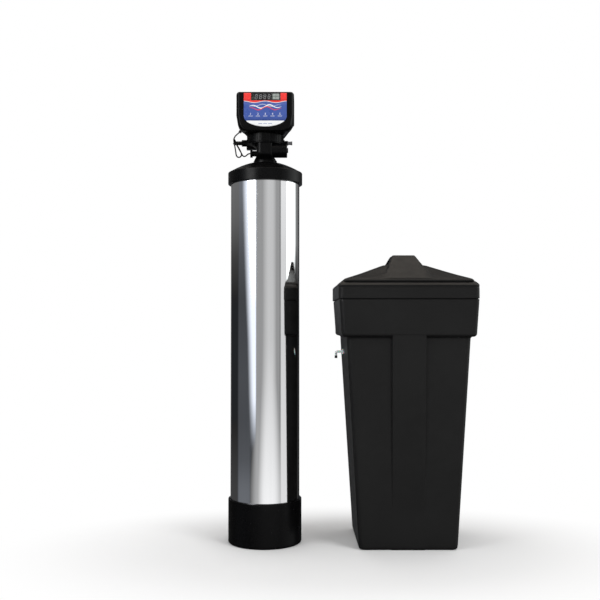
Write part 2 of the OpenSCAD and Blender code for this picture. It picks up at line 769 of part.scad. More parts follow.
// The head's outline seen from the front, drawn in at its sides, top and bottom
function head_outline(side, top, low) =
    let (w = head_w / 2 - side, r = max(1.5, top_r - top), lr = low_r - low, lx = low_x - side + low,
        zt = head_top - top, c = [lx, head_z + low_r], t = [w - r, zt - r])
    concat(arc(c, lr, -90, -10, 7), [[w, knee_z]], arc(t, r, 0, 90, 4),
        [for (p = arc(t, r, 90, 0, 4)) [-p[0], p[1]]], [[-w, knee_z]],
        [for (p = arc(c, lr, -10, -90, 7)) [-p[0], p[1]]]);

// One section of the head at a depth
function head_ring(y, side, top, low) = [for (p = head_outline(side, top, low)) [head_x + p[0], y, p[1]]];

module head_boss(y, l) {
    for (p = SCREWS) translate([head_x + p[0], y, p[1]]) along_y(boss_r, l);
}

module head_base() {
    color("#161719") difference() {
        union() {
            difference() {
                translate([head_x, rear_y, 0]) rotate([90, 0, 0]) linear_extrude(head_rear)
                    polygon(head_outline(0, 0, 0));
                translate([head_x, rear_y - head_t, 0]) rotate([90, 0, 0]) linear_extrude(head_rear)
                    polygon(head_outline(head_t, head_t, floor_t));
            }
            intersection() {
                translate([head_x, rear_y - 1, 0]) rotate([90, 0, 0]) linear_extrude(head_rear - 1)
                    polygon(head_outline(1, 1, 1));
                head_boss(part_y, head_rear - 1);
            }
            for (a = [90, 210, 330]) rotate([0, 0, a]) translate([board_r - 3, 0, head_z + 1])
                cylinder(r = post_r, h = board_z - head_z - 1 - e);
            translate([pinion_x, pinion_y, head_z + 1]) rotate([0, 0, pinion_angle + 90])
                for (s = [-1, 1]) translate([s * motor_ear, 0, 0]) cylinder(r = 4, h = motor_z - head_z - 1 - e);
            for (i = [0:6]) translate([head_x - 30 + 10 * i - 1, rear_y - 0.5, knee_z + 8]) cube([2, 1.3, 44]);
        }
        translate([0, 0, head_z - 1]) cylinder(r = 22, h = floor_t + 2);
        for (p = SCREWS) translate([head_x + p[0], 0, p[1]]) {
            translate([0, part_y - 1, 0]) along_y(screw_r + 0.1, 60);
            translate([0, screw_y, 0]) along_y(3.6, rear_y);
        }
        translate([gland_x, gland_y, gland_z]) rotate([0, gland_angle - 180, 0]) translate([0, 0, -8])
            cylinder(r = gland_r - 1 + 0.1, h = 16);
        translate([head_x + 62, rear_y - head_t - 1, head_z + 46]) along_y(5.5, 9);
    }
}

module head_cover() {
    t = head_t;
    outer = [[part_y - e, 0, 0, 0], [front_y + 26, 0, 0, 0], [front_y + 16, 0.8, 0.2, 0.3], [front_y + 8, 3.2, 0.8, 1],
        [front_y + 3.5, 6.4, 1.8, 2.2], [front_y + 1, 9.6, 3.2, 3.4], [front_y, 12.5, 5, 4.8]];
    inner = [[part_y + 1, t, t, t], [front_y + 26, t, t, t], [front_y + 16, t + 0.8, t, t],
        [front_y + 8, t + 3.4, t + 0.6, t + 1], [front_y + t, t + 9, t + 2, t + 3]];
    color("#151618") difference() {
        union() {
            difference() {
                skin([for (s = outer) head_ring(s[0], s[1], s[2], s[3])]);
                skin([for (s = inner) head_ring(s[0], s[1], s[2], s[3])]);
            }
            head_boss(part_y - 30, 30 - e);
            for (s = [-1, 1]) translate([window_x + s * (window_w / 2 + 5), front_y + 2, window_z - 9])
                along_y(3, control_y - front_y - 2 - e);
        }
        translate([window_x - window_w / 2 + ledge, front_y - 1, window_z - window_h / 2 + ledge])
            cube([window_w - 2 * ledge, head_t + 3, window_h - 2 * ledge]);
        translate([window_x - window_w / 2 - 0.1, front_y - 1, window_z - window_h / 2 - 0.1])
            cube([window_w + 0.2, 1 + window_y - front_y, window_h + 0.2]);
        for (s = [-1, 1], i = [0:groove_n - 1])
            translate([head_x + s * (head_w / 2 + 3.6) - 5, front_y + 5, knee_z + 14 + groove_pitch * i])
                cube([10, 40, 3.4]);
        for (p = SCREWS) translate([head_x + p[0], part_y - 24, p[1]]) along_y(screw_r + 0.05, 30);
    }
}

module head_screws() {
    color("#a8abae") for (p = SCREWS) translate([head_x + p[0], 0, p[1]]) {
        translate([0, screw_y + running - 33, 0]) along_y(screw_r, 33.1);
        translate([0, screw_y + running, 0]) along_y(3.3, 2.6);
    }
}

module label_outline() {
    half = label_w / 2;
    mid = label_low + label_curve;
    polygon(concat([[half, label_top], [-half, label_top]],
        [for (a = [180:10:360]) [half * cos(a), mid + label_curve * sin(a)]]));
}

module face_label() {
    color("#3a55a0") translate([label_x, front_y - e, 0]) rotate([90, 0, 0]) linear_extrude(label_t)
        difference() {
            label_outline();
            translate([window_x - label_x - window_w / 2 - 0.2, window_z - window_h / 2 - 0.2])
                square([window_w + 0.4, window_h + 4]);
        }
}

module display_window() {
    color("#0b0b0d") difference() {
        translate([window_x - window_w / 2, window_y - window_t - e, window_z - window_h / 2])
            cube([window_w, window_t, window_h]);
        for (i = [0, 1], j = [0, 1])
            translate([key_x + key_pitch_x * i - key_w / 2 - 0.1, window_y - 3, key_z + key_pitch_z * j - key_h / 2 - 0.1])
                cube([key_w + 0.2, 4, key_h + 0.2]);
    }
}

// The seven bars of a figure eight, one tenth of its height thick
module digit_bars(w, h) {
    t = h / 9;
    for (k = [0:2]) translate([t * 0.9, k * (h - t) / 2]) square([w - 1.8 * t, t * 0.9]);
    for (x = [0, w - t], k = [0, 1]) translate([x, t * 0.6 + k * (h - t) / 2]) square([t * 0.9, h / 2 - 1.4 * t]);
}

module digit_module() {
    y = window_y + 0.4;
    color("#8c8c88") {
        translate([digit_x - 4, y + 0.4, window_z - 10.5]) cube([digit_pitch * 4 + 5, control_y - y - 0.4 - e, 21]);
        for (i = [0:3]) translate([digit_x + digit_pitch * i, y + 0.5, window_z - digit_h / 2])
            rotate([90, 0, 0]) linear_extrude(0.6) digit_bars(digit_w, digit_h);
    }
}

module control_board() {
    color("#1f5a35") difference() {
        translate([window_x - window_w / 2 - 9, control_y, window_z - 60]) cube([window_w + 18, 1.6, 72]);
        for (s = [-1, 1]) translate([window_x + s * (window_w / 2 + 5), control_y - 1, window_z - 9]) along_y(1.6, 4);
    }
    color("#3b3b3d") {
        for (i = [0, 1], j = [0, 1])
            translate([key_x + key_pitch_x * i - 3, control_y - 3.2, key_z + key_pitch_z * j - 3]) cube([6, 3.21, 6]);
        translate([window_x - 30, control_y + 1.59, window_z - 40]) cube([14, 1.6, 14]);
        translate([window_x + 16, control_y + 1.59, window_z - 48]) cube([22, 9, 10]);
        translate([window_x - 44, control_y + 1.59, window_z - 52]) along_y(5, 12);
    }
}

module key(i, j) {
    x = key_x + key_pitch_x * i;
    z = key_z + key_pitch_z * j;
    rear = window_y + 0.2;
    color("#b9bfba") {
        translate([x - key_w / 2, window_y - window_t - 1.6, z - key_h / 2]) cube([key_w, window_t + 1.6 + 0.5, key_h]);
        translate([x - key_w / 2 - key_flange, rear, z - key_h / 2 - key_flange])
            cube([key_w + 2 * key_flange, 1, key_h + 2 * key_flange]);
        translate([x, rear, z]) along_y(2, control_y - 3.2 - key_travel - 0.1 - rear);
    }
}

module key_1() { key(0, 1); }
module key_2() { key(1, 1); }
module key_3() { key(0, 0); }
module key_4() { key(1, 0); }

module position_board() {
    color("#1f5a35") translate([0, 0, board_z]) difference() {
        cylinder(r = board_r, h = 1.6);
        translate([0, 0, -1]) cylinder(r = shaft_r + 8, h = 4);
        rotate([0, 0, pinion_angle]) translate([board_r - 6, -12, -1]) cube([20, 24, 4]);
    }
    color("#2c2c2e") translate([gear_r - 7, 0, board_z - 1.2]) translate([-2, -2, 0]) cube([4, 4, 1.21]);
}

module cable_gland() {
    color("#101012") translate([gland_x, gland_y, gland_z]) rotate([0, gland_angle - 180, 0]) difference() {
        union() {
            translate([0, 0, -7]) cylinder(r = gland_r - 1, h = 9);
            translate([0, 0, 0.6]) cylinder(r = gland_r, h = gland_l - 0.6);
        }
        translate([0, 0, -8]) cylinder(r = cable_d / 2 + 0.2, h = 12);
    }
}

// Sections of a round tube that follows a route, each square to the route's direction
function spline(p, q, r, s, t) = 0.5 * (2 * q + (r - p) * t + (2 * p - 5 * q + 4 * r - s) * t * t
    + (3 * q - p - 3 * r + s) * t * t * t);
function route(p, n = 2) = let (m = len(p)) concat([for (i = [0:m - 2], k = [0:n - 1])
    spline(p[max(0, i - 1)], p[i], p[i + 1], p[min(m - 1, i + 2)], k / n)], [p[m - 1]]);
function unit(v) = v / norm(v);
function heading(p, i) = unit(p[min(len(p) - 1, i + 1)] - p[max(0, i - 1)]);

module swept(p, r, sides = 8) {
    skin([for (i = [0:len(p) - 1])
        let (d = heading(p, i), u = unit(cross([0, 1, 0], d)), v = cross(d, u))
        [for (k = [0:sides - 1]) let (a = 360 * k / sides) p[i] + r * (cos(a) * u + sin(a) * v)]]);
}

module sensor_cable() {
    start = [gland_x, gland_y, gland_z] + gland_l * gland_dir;
    finish = [-probe_x - 8.35, 0, probe_z];
    color("#0c0c0c") swept(concat([start, start + 4 * gland_dir], route(CABLE), [finish - [4, 0, 0], finish]),
        cable_d / 2);
}

module cable_tie() {
    outer = tie_size + 2 * tie_t * [1, 1, 0];
    color("#0c0c0c") translate(tie_at) difference() {
        translate(-outer / 2) cube(outer);
        translate([-tie_size[0] / 2, -tie_size[1] / 2, -5]) cube([tie_size[0], tie_size[1], 10]);
    }
}

// Half width and half depth of the salt tank's wall at a height
function wall_w(z) = (cab_foot_w + (cab_neck_w - cab_foot_w) * z / cab_neck_z) / 2;
function wall_d(z) = (cab_foot_d + (cab_neck_d - cab_foot_d) * z / cab_neck_z) / 2;

// Sections of the salt tank from the floor to the collar's top, drawn in by t
function tank_rings(t) = let (s = cab_neck_z + t, v = collar_step - fillet_r, top = collar_z2 - (t > 0 ? 8 : 3)) concat(
    [for (a = [0:22.5:90]) let (d = cab_edge * (1 - sin(a)), z = t + cab_edge * (1 - cos(a)))
        ring_at(wall_w(0) - t - d, wall_d(0) - t - d, cab_r - t, z)],
    [for (a = [0:30:90]) let (z = s - fillet_r + fillet_r * sin(a), d = fillet_r * (1 - cos(a)) - t)
        ring_at(wall_w(z) + d, wall_d(z) + d, cab_r - t, z)],
    [for (a = [15:15:90]) let (d = fillet_r + v * sin(a) - t, z = s + v * (1 - cos(a)))
        ring_at(wall_w(cab_neck_z) + d, wall_d(cab_neck_z) + d, cab_r - t, z)],
    [ring_at(collar_top_w / 2 - t, collar_top_d / 2 - t, cab_r - t, top)]);

module salt_tank_outer() {
    skin(concat(tank_rings(0), [ring_at(collar_top_w / 2 - 1, collar_top_d / 2 - 1, cab_r, collar_z2 - 0.8),
        ring_at(collar_top_w / 2 - 3, collar_top_d / 2 - 3, cab_r, collar_z2),
        ring_at(rim_w / 2, rim_d / 2, cab_r - 2, collar_z2 + e), ring_at(rim_w / 2, rim_d / 2, cab_r - 2, rim_z)]));
}

module salt_tank_inner() {
    skin(concat(tank_rings(cab_t), [ring_at(rim_w / 2 - cab_t, rim_d / 2 - cab_t, cab_r - cab_t, collar_z2 - 1),
        ring_at(rim_w / 2 - cab_t, rim_d / 2 - cab_t, cab_r - cab_t, rim_z + 1)]));
}

// The pilaster's front runs straight from the wall near the floor to the collar's face
module pilaster() {
    top_y = -wall_d(cab_neck_z) - fillet_r - (collar_step - fillet_r) + 0.6;
    low_y = -wall_d(pilaster_z);
    hull() for (s = [-1, 1]) {
        translate([s * (pilaster_w / 2 - pilaster_r), low_y + pilaster_r, pilaster_z])
            cylinder(r = pilaster_r, h = 0.1, $fn = 24);
        translate([s * (pilaster_w / 2 - pilaster_r), top_y + pilaster_r, cab_neck_z + collar_step])
            cylinder(r = pilaster_r, h = 0.1, $fn = 24);
        translate([s * (pilaster_w / 2 - pilaster_r), -wall_d(pilaster_z) + pilaster_r, cab_neck_z])
            cylinder(r = pilaster_r, h = 0.1, $fn = 24);
    }
}

module salt_tank() {
    color("#1c1c1c") translate([cab_x, cab_y, 0]) difference() {
        union() {
            salt_tank_outer();
            pilaster();
        }
        salt_tank_inner();
        translate([-wall_w(overflow_z) - 10, 0, overflow_z]) along_x(overflow_r + 0.3, 30);
    }
}

module lid_ridge(t) {
    low = riser_z + 3;
    hull() {
        translate([-ridge_foot_w / 2 + t, -riser_d2 / 2 + 4 + t, low]) cube([ridge_foot_w - 2 * t, riser_d2 - 8 - 2 * t, 0.5]);
        translate([-ridge_w / 2 + t, -ridge_l / 2 + t, ridge_z - t - 1]) cube([ridge_w - 2 * t, ridge_l - 2 * t, 1]);
    }
}

module lid_grip(t) {
    for (s = [-1, 1]) translate([s * (grip_w / 2 + 40 - t), 0, roof_z + 11]) cube([80, grip_l + 2 * t, 22 + 2 * t], center = true);
}

module lid_solid(t) {
    skin([ring_at(lid_w / 2 - t, lid_d / 2 - t, lid_r - t, lid_z),
        ring_at(lid_w / 2 - t, lid_d / 2 - t, lid_r - t, lid_z + skirt_h - 4 - t),
        ring_at(lid_w / 2 - t - 1.5, lid_d / 2 - t - 1.5, lid_r - t, lid_z + skirt_h - 1.2 - t),
        ring_at(lid_w / 2 - t - 5, lid_d / 2 - t - 5, lid_r - t, lid_z + skirt_h - t),
        ring_at(riser_w / 2 - t + 3.5, riser_d2 / 2 - t + 3.5, lid_r - t - 6, lid_z + skirt_h + 4.6 - t),
        ring_at(riser_w / 2 - t + 1, riser_d2 / 2 - t + 1, lid_r - t - 8, lid_z + skirt_h + 6.6 - t),
        ring_at(riser_w / 2 - t, riser_d2 / 2 - t, lid_r - t - 8, riser_z - 3 - t),
        ring_at(riser_w / 2 - t - 3, riser_d2 / 2 - t - 3, lid_r - t - 8, riser_z - t),
        ring_at(roof_w / 2, roof_d / 2, 4, roof_z - t)]);
}

module salt_lid() {
    seat = rim_z + slip;
    color("#1e1d1c") translate([cab_x, cab_y, 0]) difference() {
        union() {
            lid_solid(0);
            lid_ridge(0);
        }
        lid_grip(0);
        difference() {
            union() {
                lid_solid(lid_t);
                lid_ridge(lid_t);
            }
            lid_grip(lid_t);
            // The seat that rests on the tank's rim
            difference() {
                translate([-lid_w, -lid_d, seat]) cube([2 * lid_w, 2 * lid_d, 4]);
                skin([ring_at(rim_w / 2 - 9, rim_d / 2 - 9, cab_r - 6, seat - 1),
                    ring_at(rim_w / 2 - 9, rim_d / 2 - 9, cab_r - 6, seat + 5)]);
            }
        }
        skin([ring_at(lid_w / 2 - lid_t, lid_d / 2 - lid_t, lid_r - lid_t, lid_z - 1),
            ring_at(lid_w / 2 - lid_t, lid_d / 2 - lid_t, lid_r - lid_t, lid_z + 1)]);
    }
}

module salt_grid() {
    low = grid_z - grid_t;
    half_w = wall_w(low) - cab_t - grid_gap;
    half_d = wall_d(low) - cab_t - grid_gap;
    pitch = 26;
    color("#2a2a2a") translate([cab_x, cab_y, low]) difference() {
        linear_extrude(grid_t) polygon([for (p = ring_at(half_w, half_d, cab_r - cab_t, 0)) [p[0], p[1]]]);
        translate([well_x, well_y, -1]) cylinder(r = well_r + 1, h = grid_t + 2);
        for (i = [-6:6], j = [-6:6])
            if (abs(i * pitch) < half_w - 12 && abs(j * pitch) < half_d - 12
                && norm([i * pitch - well_x, j * pitch - well_y]) > well_r + 9)
                translate([i * pitch, j * pitch, -1]) cylinder(r = 4, h = grid_t + 2);
    }
}

module grid_legs() {
    color("#2a2a2a") for (p = [[-1, -1], [1, -1], [-1, 1]])
        translate([cab_x + p[0] * leg_x, cab_y + p[1] * leg_y, cab_t + e]) tube(leg_r, leg_r - 3, grid_z - grid_t - cab_t - 2 * e);
}

module brine_well() {
    color("#e4e4e0") translate([cab_x + well_x, cab_y + well_y, cab_t + e]) difference() {
        tube(well_r, well_r - well_t, well_z - cab_t - e);
        slots(12, well_r - 8, well_r + 4, 5, 20, 60);
        translate([-well_r - 10, 0, valve_arm_z - cab_t]) along_x(arm_r + 0.1, 30);
    }
}

module well_cap() {
    color("#d9d9d4") translate([cab_x + well_x, cab_y + well_y, well_z + e]) turned([[0, 0], [well_r + 0.4, 0],
        [well_r + 0.4, -12], [well_r + 3, -12], [well_r + 3, 1.5], [well_r + 1.5, 3], [8, 3], [7, 1.5], [0, 1.5]]);
}

module safety_valve() {
    color("#efefec") translate([cab_x + well_x, cab_y + well_y, valve_arm_z]) difference() {
        union() {
            translate([pickup_x, 0, -12]) cylinder(r = 12, h = 34);
            translate([rod_x, 0, -12]) cylinder(r = 8, h = 24);
            translate([pickup_x, -6, -12]) cube([rod_x - pickup_x, 12, 24]);
            translate([-well_r + 0.4, 0, 0]) along_x(arm_r, 20);
            translate([pickup_x, 0, 22]) hexagon(20, 8);
        }
        translate([pickup_x, 0, -13]) cylinder(r = pickup_r + 0.05, h = 12);
        translate([rod_x, 0, -13]) cylinder(r = rod_r + 0.1, h = 26);
        translate([-well_r, 0, 0]) along_x(4, well_r + pickup_x);
    }
}

module pickup_tube() {
    color("#f0f0ee") translate([cab_x + well_x + pickup_x, cab_y + well_y, 0]) {
        translate([0, 0, 46]) tube(pickup_r, pickup_r - 1.5, valve_arm_z - 1.2 - 46);
        difference() {
            translate([0, 0, cab_t + 2 * e]) turned([[0, 0], [13, 0], [13, 44], [pickup_r + 1, 56],
                [pickup_r - 1, 56], [pickup_r - 1, 50], [11, 42], [11, 2], [0, 2]]);
            slots(10, 9, 15, 2, cab_t + 8, 28);
        }
    }
}

module brine_float() {
    color("#d94f3c") translate([cab_x + well_x + rod_x, cab_y + well_y, 0]) {
        turned([[0, float_z], [float_r - 4, float_z], [float_r, float_z + 4], [float_r, float_z + float_h - 4],
            [float_r - 4, float_z + float_h], [0, float_z + float_h]]);
        translate([0, 0, float_z - 120]) cylinder(r = rod_r, h = valve_arm_z + 16 - float_z + 120);
        translate([0, 0, valve_arm_z - 12.3 - float_travel - 3]) cylinder(r = 4.5, h = 3);
        translate([0, 0, float_z - 8]) cylinder(r = 4.5, h = 9);
    }
}

module overflow_elbow() {
    x = -wall_w(overflow_z) - overflow_out + overflow_r;
    inner = wall_w(overflow_z) - cab_t;
    color("#dfe3e3") translate([cab_x, cab_y, overflow_z]) difference() {
        union() {
            translate([x, 0, 0]) along_x(overflow_r, inner + 14 - x - inner * 2);
            translate([x, 0, 0]) sphere(r = overflow_r);
            translate([x, 0, -14]) cylinder(r = overflow_r, h = 14);
            translate([-wall_w(overflow_z + nut_r) - 4.5, 0, 0]) along_x(13, 3.4);
        }
        translate([x, 0, 0]) along_x(5.5, 90);
        translate([x, 0, -20]) cylinder(r = 5.5, h = 20);
    }
}

module overflow_nut() {
    color("#dfe3e3") translate([cab_x - wall_w(overflow_z - nut_r) + cab_t + 0.8, cab_y, overflow_z])
        rotate([0, 90, 0]) difference() {
            hexagon(2 * nut_r - 4, 7);
            translate([0, 0, -1]) cylinder(r = overflow_r + 0.1, h = 9);
        }
}

module overflow_sleeve() {
    x = -wall_w(overflow_z) - overflow_out + overflow_r;
    color("#0d0d0d") translate([cab_x + x, cab_y, overflow_z - 22.5]) difference() {
        cylinder(r = overflow_r + 2, h = 12);
        translate([0, 0, 8.4]) cylinder(r = overflow_r + 0.1, h = 6);
        translate([0, 0, -1]) cylinder(r = 5.5, h = 12);
    }
}

tank_boot();
tank_jacket();
pressure_tank();
tank_collar();
riser_tube();
lower_distributor();
upper_basket();
gravel_bed();
resin_bed();
neck_o_ring();
valve_body();
fastening_ring();
bonnet();
disc_seal();
fixed_disc();
moving_disc();
rotor_shaft();
friction_washer();
drive_gear();
position_magnets();
drive_pinion();
gear_motor();
meter_cage();
meter_turbine();
meter_probe();
injector_nozzle();
injector_throat();
injector_screen();
barrel_cap();
brine_fitting();
brine_button();
drain_stub();
drain_button();
head_base();
head_cover();
face_label();
display_window();
digit_module();
control_board();
key_1();
key_2();
key_3();
key_4();
position_board();
head_screws();
cable_gland();
sensor_cable();
cable_tie();
salt_tank();
salt_lid();
salt_grid();
grid_legs();
brine_well();
well_cap();
safety_valve();
pickup_tube();
brine_float();
overflow_elbow();
overflow_nut();
overflow_sleeve();
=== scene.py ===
# Water softener: the looks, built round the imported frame. Metres, Z up, front towards -Y.
# The dictionaries of the pieces are in millimetres, those of the studio in metres.
import json
import math

import bmesh
import bpy
import numpy as np
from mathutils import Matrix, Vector


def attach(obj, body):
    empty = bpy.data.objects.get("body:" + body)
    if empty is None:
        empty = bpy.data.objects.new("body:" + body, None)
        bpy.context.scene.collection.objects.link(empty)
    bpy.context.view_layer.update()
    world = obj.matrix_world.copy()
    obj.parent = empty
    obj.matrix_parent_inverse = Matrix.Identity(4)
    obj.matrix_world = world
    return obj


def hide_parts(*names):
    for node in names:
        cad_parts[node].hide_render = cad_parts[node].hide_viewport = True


print("frame: loading")
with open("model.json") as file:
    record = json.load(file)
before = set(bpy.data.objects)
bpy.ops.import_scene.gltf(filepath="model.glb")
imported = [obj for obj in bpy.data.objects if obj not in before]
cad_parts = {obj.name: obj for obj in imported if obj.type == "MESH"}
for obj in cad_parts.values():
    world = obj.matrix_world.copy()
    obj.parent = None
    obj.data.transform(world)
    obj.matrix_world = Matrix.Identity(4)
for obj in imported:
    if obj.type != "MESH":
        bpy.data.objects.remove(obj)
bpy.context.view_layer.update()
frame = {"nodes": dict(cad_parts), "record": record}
scene = bpy.context.scene
nodes = frame["nodes"]
mm = 0.001

# Camera

cameraView = {"lens": 52.51, "place": (0.131, -3.2872, 0.8124), "pitch": 1.503, "farthest": 60}


def newObject(name, data):
    thing = bpy.data.objects.new(name, data)
    scene.collection.objects.link(thing)
    return thing


def makeCamera(v):
    # It looks along +Y, pitched up by a few degrees.
    data = bpy.data.cameras.new("photoCamera")
    data.lens = v["lens"]
    data.clip_end = v["farthest"]
    camera = newObject("photoCamera", data)
    camera.location = v["place"]
    camera.rotation_euler = (math.radians(90 + v["pitch"]), 0, 0)
    scene.camera = camera


makeCamera(cameraView)
print("camera: in place")

# Meshes


def gridMesh(points, wrapAcross=True, wrapAlong=False):
    # Faces join each point of a rows by columns grid to its neighbours. A row whose points all
    # meet is one pole.
    rows, columns = points.shape[:2]
    pole = np.ptp(points, axis=1).max(axis=1) < 1e-6
    counts = np.where(pole, 1, columns)
    starts = np.concatenate([[0], np.cumsum(counts)[:-1]])
    index = starts[:, None] + np.where(pole[:, None], 0, np.arange(columns)[None, :])
    vertices = np.concatenate([points[k, :1] if pole[k] else points[k] for k in range(rows)])
    low, left = np.arange(rows - 1 + wrapAlong), np.arange(columns - 1 + wrapAcross)
    high, right = (low + 1) % rows, (left + 1) % columns
    a, b = index[low][:, left], index[low][:, right]
    c, d = index[high][:, right], index[high][:, left]
    quads = np.stack([a, b, c, d], -1).reshape(-1, 4)
    lowPole, highPole = quads[:, 0] == quads[:, 1], quads[:, 2] == quads[:, 3]
    faces = quads[~lowPole & ~highPole].tolist()
    faces += quads[lowPole & ~highPole][:, [0, 2, 3]].tolist()
    faces += quads[highPole & ~lowPole][:, [0, 1, 2]].tolist()
    mesh = bpy.data.meshes.new("form")
    mesh.from_pydata((vertices * mm).tolist(), [], faces)
    return mesh


def faceOutwards(mesh):
    shape = bmesh.new()
    shape.from_mesh(mesh)
    bmesh.ops.recalc_face_normals(shape, faces=shape.faces)
    shape.to_mesh(mesh)
    shape.free()


def addPiece(name, mesh, finish, replaces=(), body="stand", sharp=32, outwards=True):
    # A finished piece in its finish, smooth but for the edges past the sharp angle.
    if outwards:
        faceOutwards(mesh)
    mesh.name = name
    mesh.polygons.foreach_set("use_smooth", np.ones(len(mesh.polygons), bool))
    mesh.set_sharp_from_angle(angle=math.radians(sharp))
    mesh.materials.clear()
    mesh.materials.append(finishes[finish])
    mesh.polygons.foreach_set("material_index", np.zeros(len(mesh.polygons), np.int32))
    piece = newObject(name, mesh)
    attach(piece, body)
    if replaces:
        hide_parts(*replaces)
    return piece


def looseObject(mesh):
    # A helper that is cut, or that cuts, before a piece is made of it.
    faceOutwards(mesh)
    return newObject("helper", mesh)


def takeMesh(thing):
    # The mesh of a helper, which is removed.
    mesh = thing.data
    bpy.data.objects.remove(thing)
    return mesh


def cutAway(thing, cutter):
    # Takes a closed form away from a closed helper and keeps the result as the helper's mesh.
    step = thing.modifiers.new("cut", "BOOLEAN")
    step.operation = "DIFFERENCE"
    step.solver = "MANIFOLD"
    step.object = cutter
    graph = bpy.context.evaluated_depsgraph_get()
    graph.update()
    made = bpy.data.meshes.new_from_object(thing.evaluated_get(graph))
    thing.modifiers.remove(step)
    thing.data = made
    bpy.data.objects.remove(cutter)


def joinMeshes(meshes):
    shape = bmesh.new()
    for mesh in meshes:
        shape.from_mesh(mesh)
        bpy.data.meshes.remove(mesh)
    joined = bpy.data.meshes.new("joined")
    shape.to_mesh(joined)
    shape.free()
    return joined


def sweep(count, stop=90):
    # Angles in radians at equal steps, from nought to the given degrees.
    return np.radians(np.linspace(0, stop, count))


def onceRound(count):
    # Angles in radians at equal steps round a whole turn, the last one short of the first.
    return np.linspace(0, 2 * np.pi, count, endpoint=False)


def arcPoints(centre, radius, start, stop, count):
    # Points at equal angles on a circle, from one angle to another in degrees.
    a = np.radians(np.linspace(start, stop, count))
    return np.stack([centre[0] + radius * np.cos(a), centre[1] + radius * np.sin(a)], -1)


def linePoints(p, q, count):
    # Points at equal steps from p to q: p * (1 - t) + q * t.
    t = np.linspace(0, 1, count)[:, None]
    return np.array(p, float) * (1 - t) + np.array(q, float) * t


def capped(rings):
    # A stack of rings with a pole at each end, in the middle of the end ring.
    first, last = (np.broadcast_to(rings[k].mean(axis=0), rings[k].shape)[None] for k in (0, -1))
    return np.concatenate([first, rings, last])


def closedProfile(bore, points):
    # An outer profile of (radius, height) closed along its bore.
    first, last = (bore, points[0][1]), (bore, points[-1][1])
    return [first, *points, last, first]


def turnedMesh(profile, turns, origin=(0, 0, 0), axis=(0, 0, 1)):
    # Each (radius, height) of the profile goes round the axis: origin + height * axis +
    # radius * (cosine * u + sine * v), with u and v square to the axis and to each other.
    profile = np.asarray(profile, float)[:, :, None, None]
    w = np.array(axis, float) / np.linalg.norm(axis)
    u = np.cross(w, [1.0, 0, 0] if abs(w[0]) < 0.9 else [0, 1.0, 0])
    u /= np.linalg.norm(u)
    a = onceRound(turns)[:, None]
    ring = np.cos(a) * u + np.sin(a) * np.cross(w, u)
    return gridMesh(np.array(origin) + profile[:, 1] * w + profile[:, 0] * ring[None])


def tubeMesh(path, radius, sides, bore=None):
    # A circle carried along a path, square to the path's direction at each point.
    path = np.asarray(path, float)
    d = np.gradient(path, axis=0)
    d /= np.linalg.norm(d, axis=1)[:, None]
    u = np.cross([0, 1.0, 0], d)
    u /= np.linalg.norm(u, axis=1)[:, None]
    v = np.cross(d, u)
    a = onceRound(sides)[None, :, None]
    ring = np.cos(a) * u[:, None] + np.sin(a) * v[:, None]
    outer = path[:, None] + radius * ring
    if bore is None:
        return gridMesh(capped(outer))
    return gridMesh(np.concatenate([outer, (path[:, None] + bore * ring)[::-1]]), wrapAlong=True)


def blockGrid(half, radius):
    # A block about the origin: rounded rectangles stacked along Z, drawn in at both ends by a
    # quarter circle.
    a, rise = sweep(5), sweep(4)
    inset = radius * (1 - np.sin(rise))
    height = half[2] - radius * (1 - np.cos(rise))
    inset = np.concatenate([inset, inset[::-1]])[:, None]
    height = np.concatenate([-height, height[::-1]])[:, None]
    r = np.maximum(radius - inset, 0.01)
    corners = []
    for k, (signX, signY) in enumerate(((1, 1), (-1, 1), (-1, -1), (1, -1))):
        q = a[::-1] if k % 2 else a
        x = signX * (half[0] - inset - r + r * np.cos(q))
        y = signY * (half[1] - inset - r + r * np.sin(q))
        corners.append(np.stack([x, y, np.broadcast_to(height, x.shape)], -1))
    return capped(np.concatenate(corners, axis=1))


def cylinderAt(radius, place, axis, length):
    profile = [(0, 0), (radius, 0), (radius, length), (0, length)]
    return looseObject(turnedMesh(profile, 64, place, axis))


def boxAt(low, high, radius=0.4):
    low, high = np.array(low, float), np.array(high, float)
    return looseObject(gridMesh(blockGrid((high - low) / 2, radius) + (low + high) / 2))


# Finishes

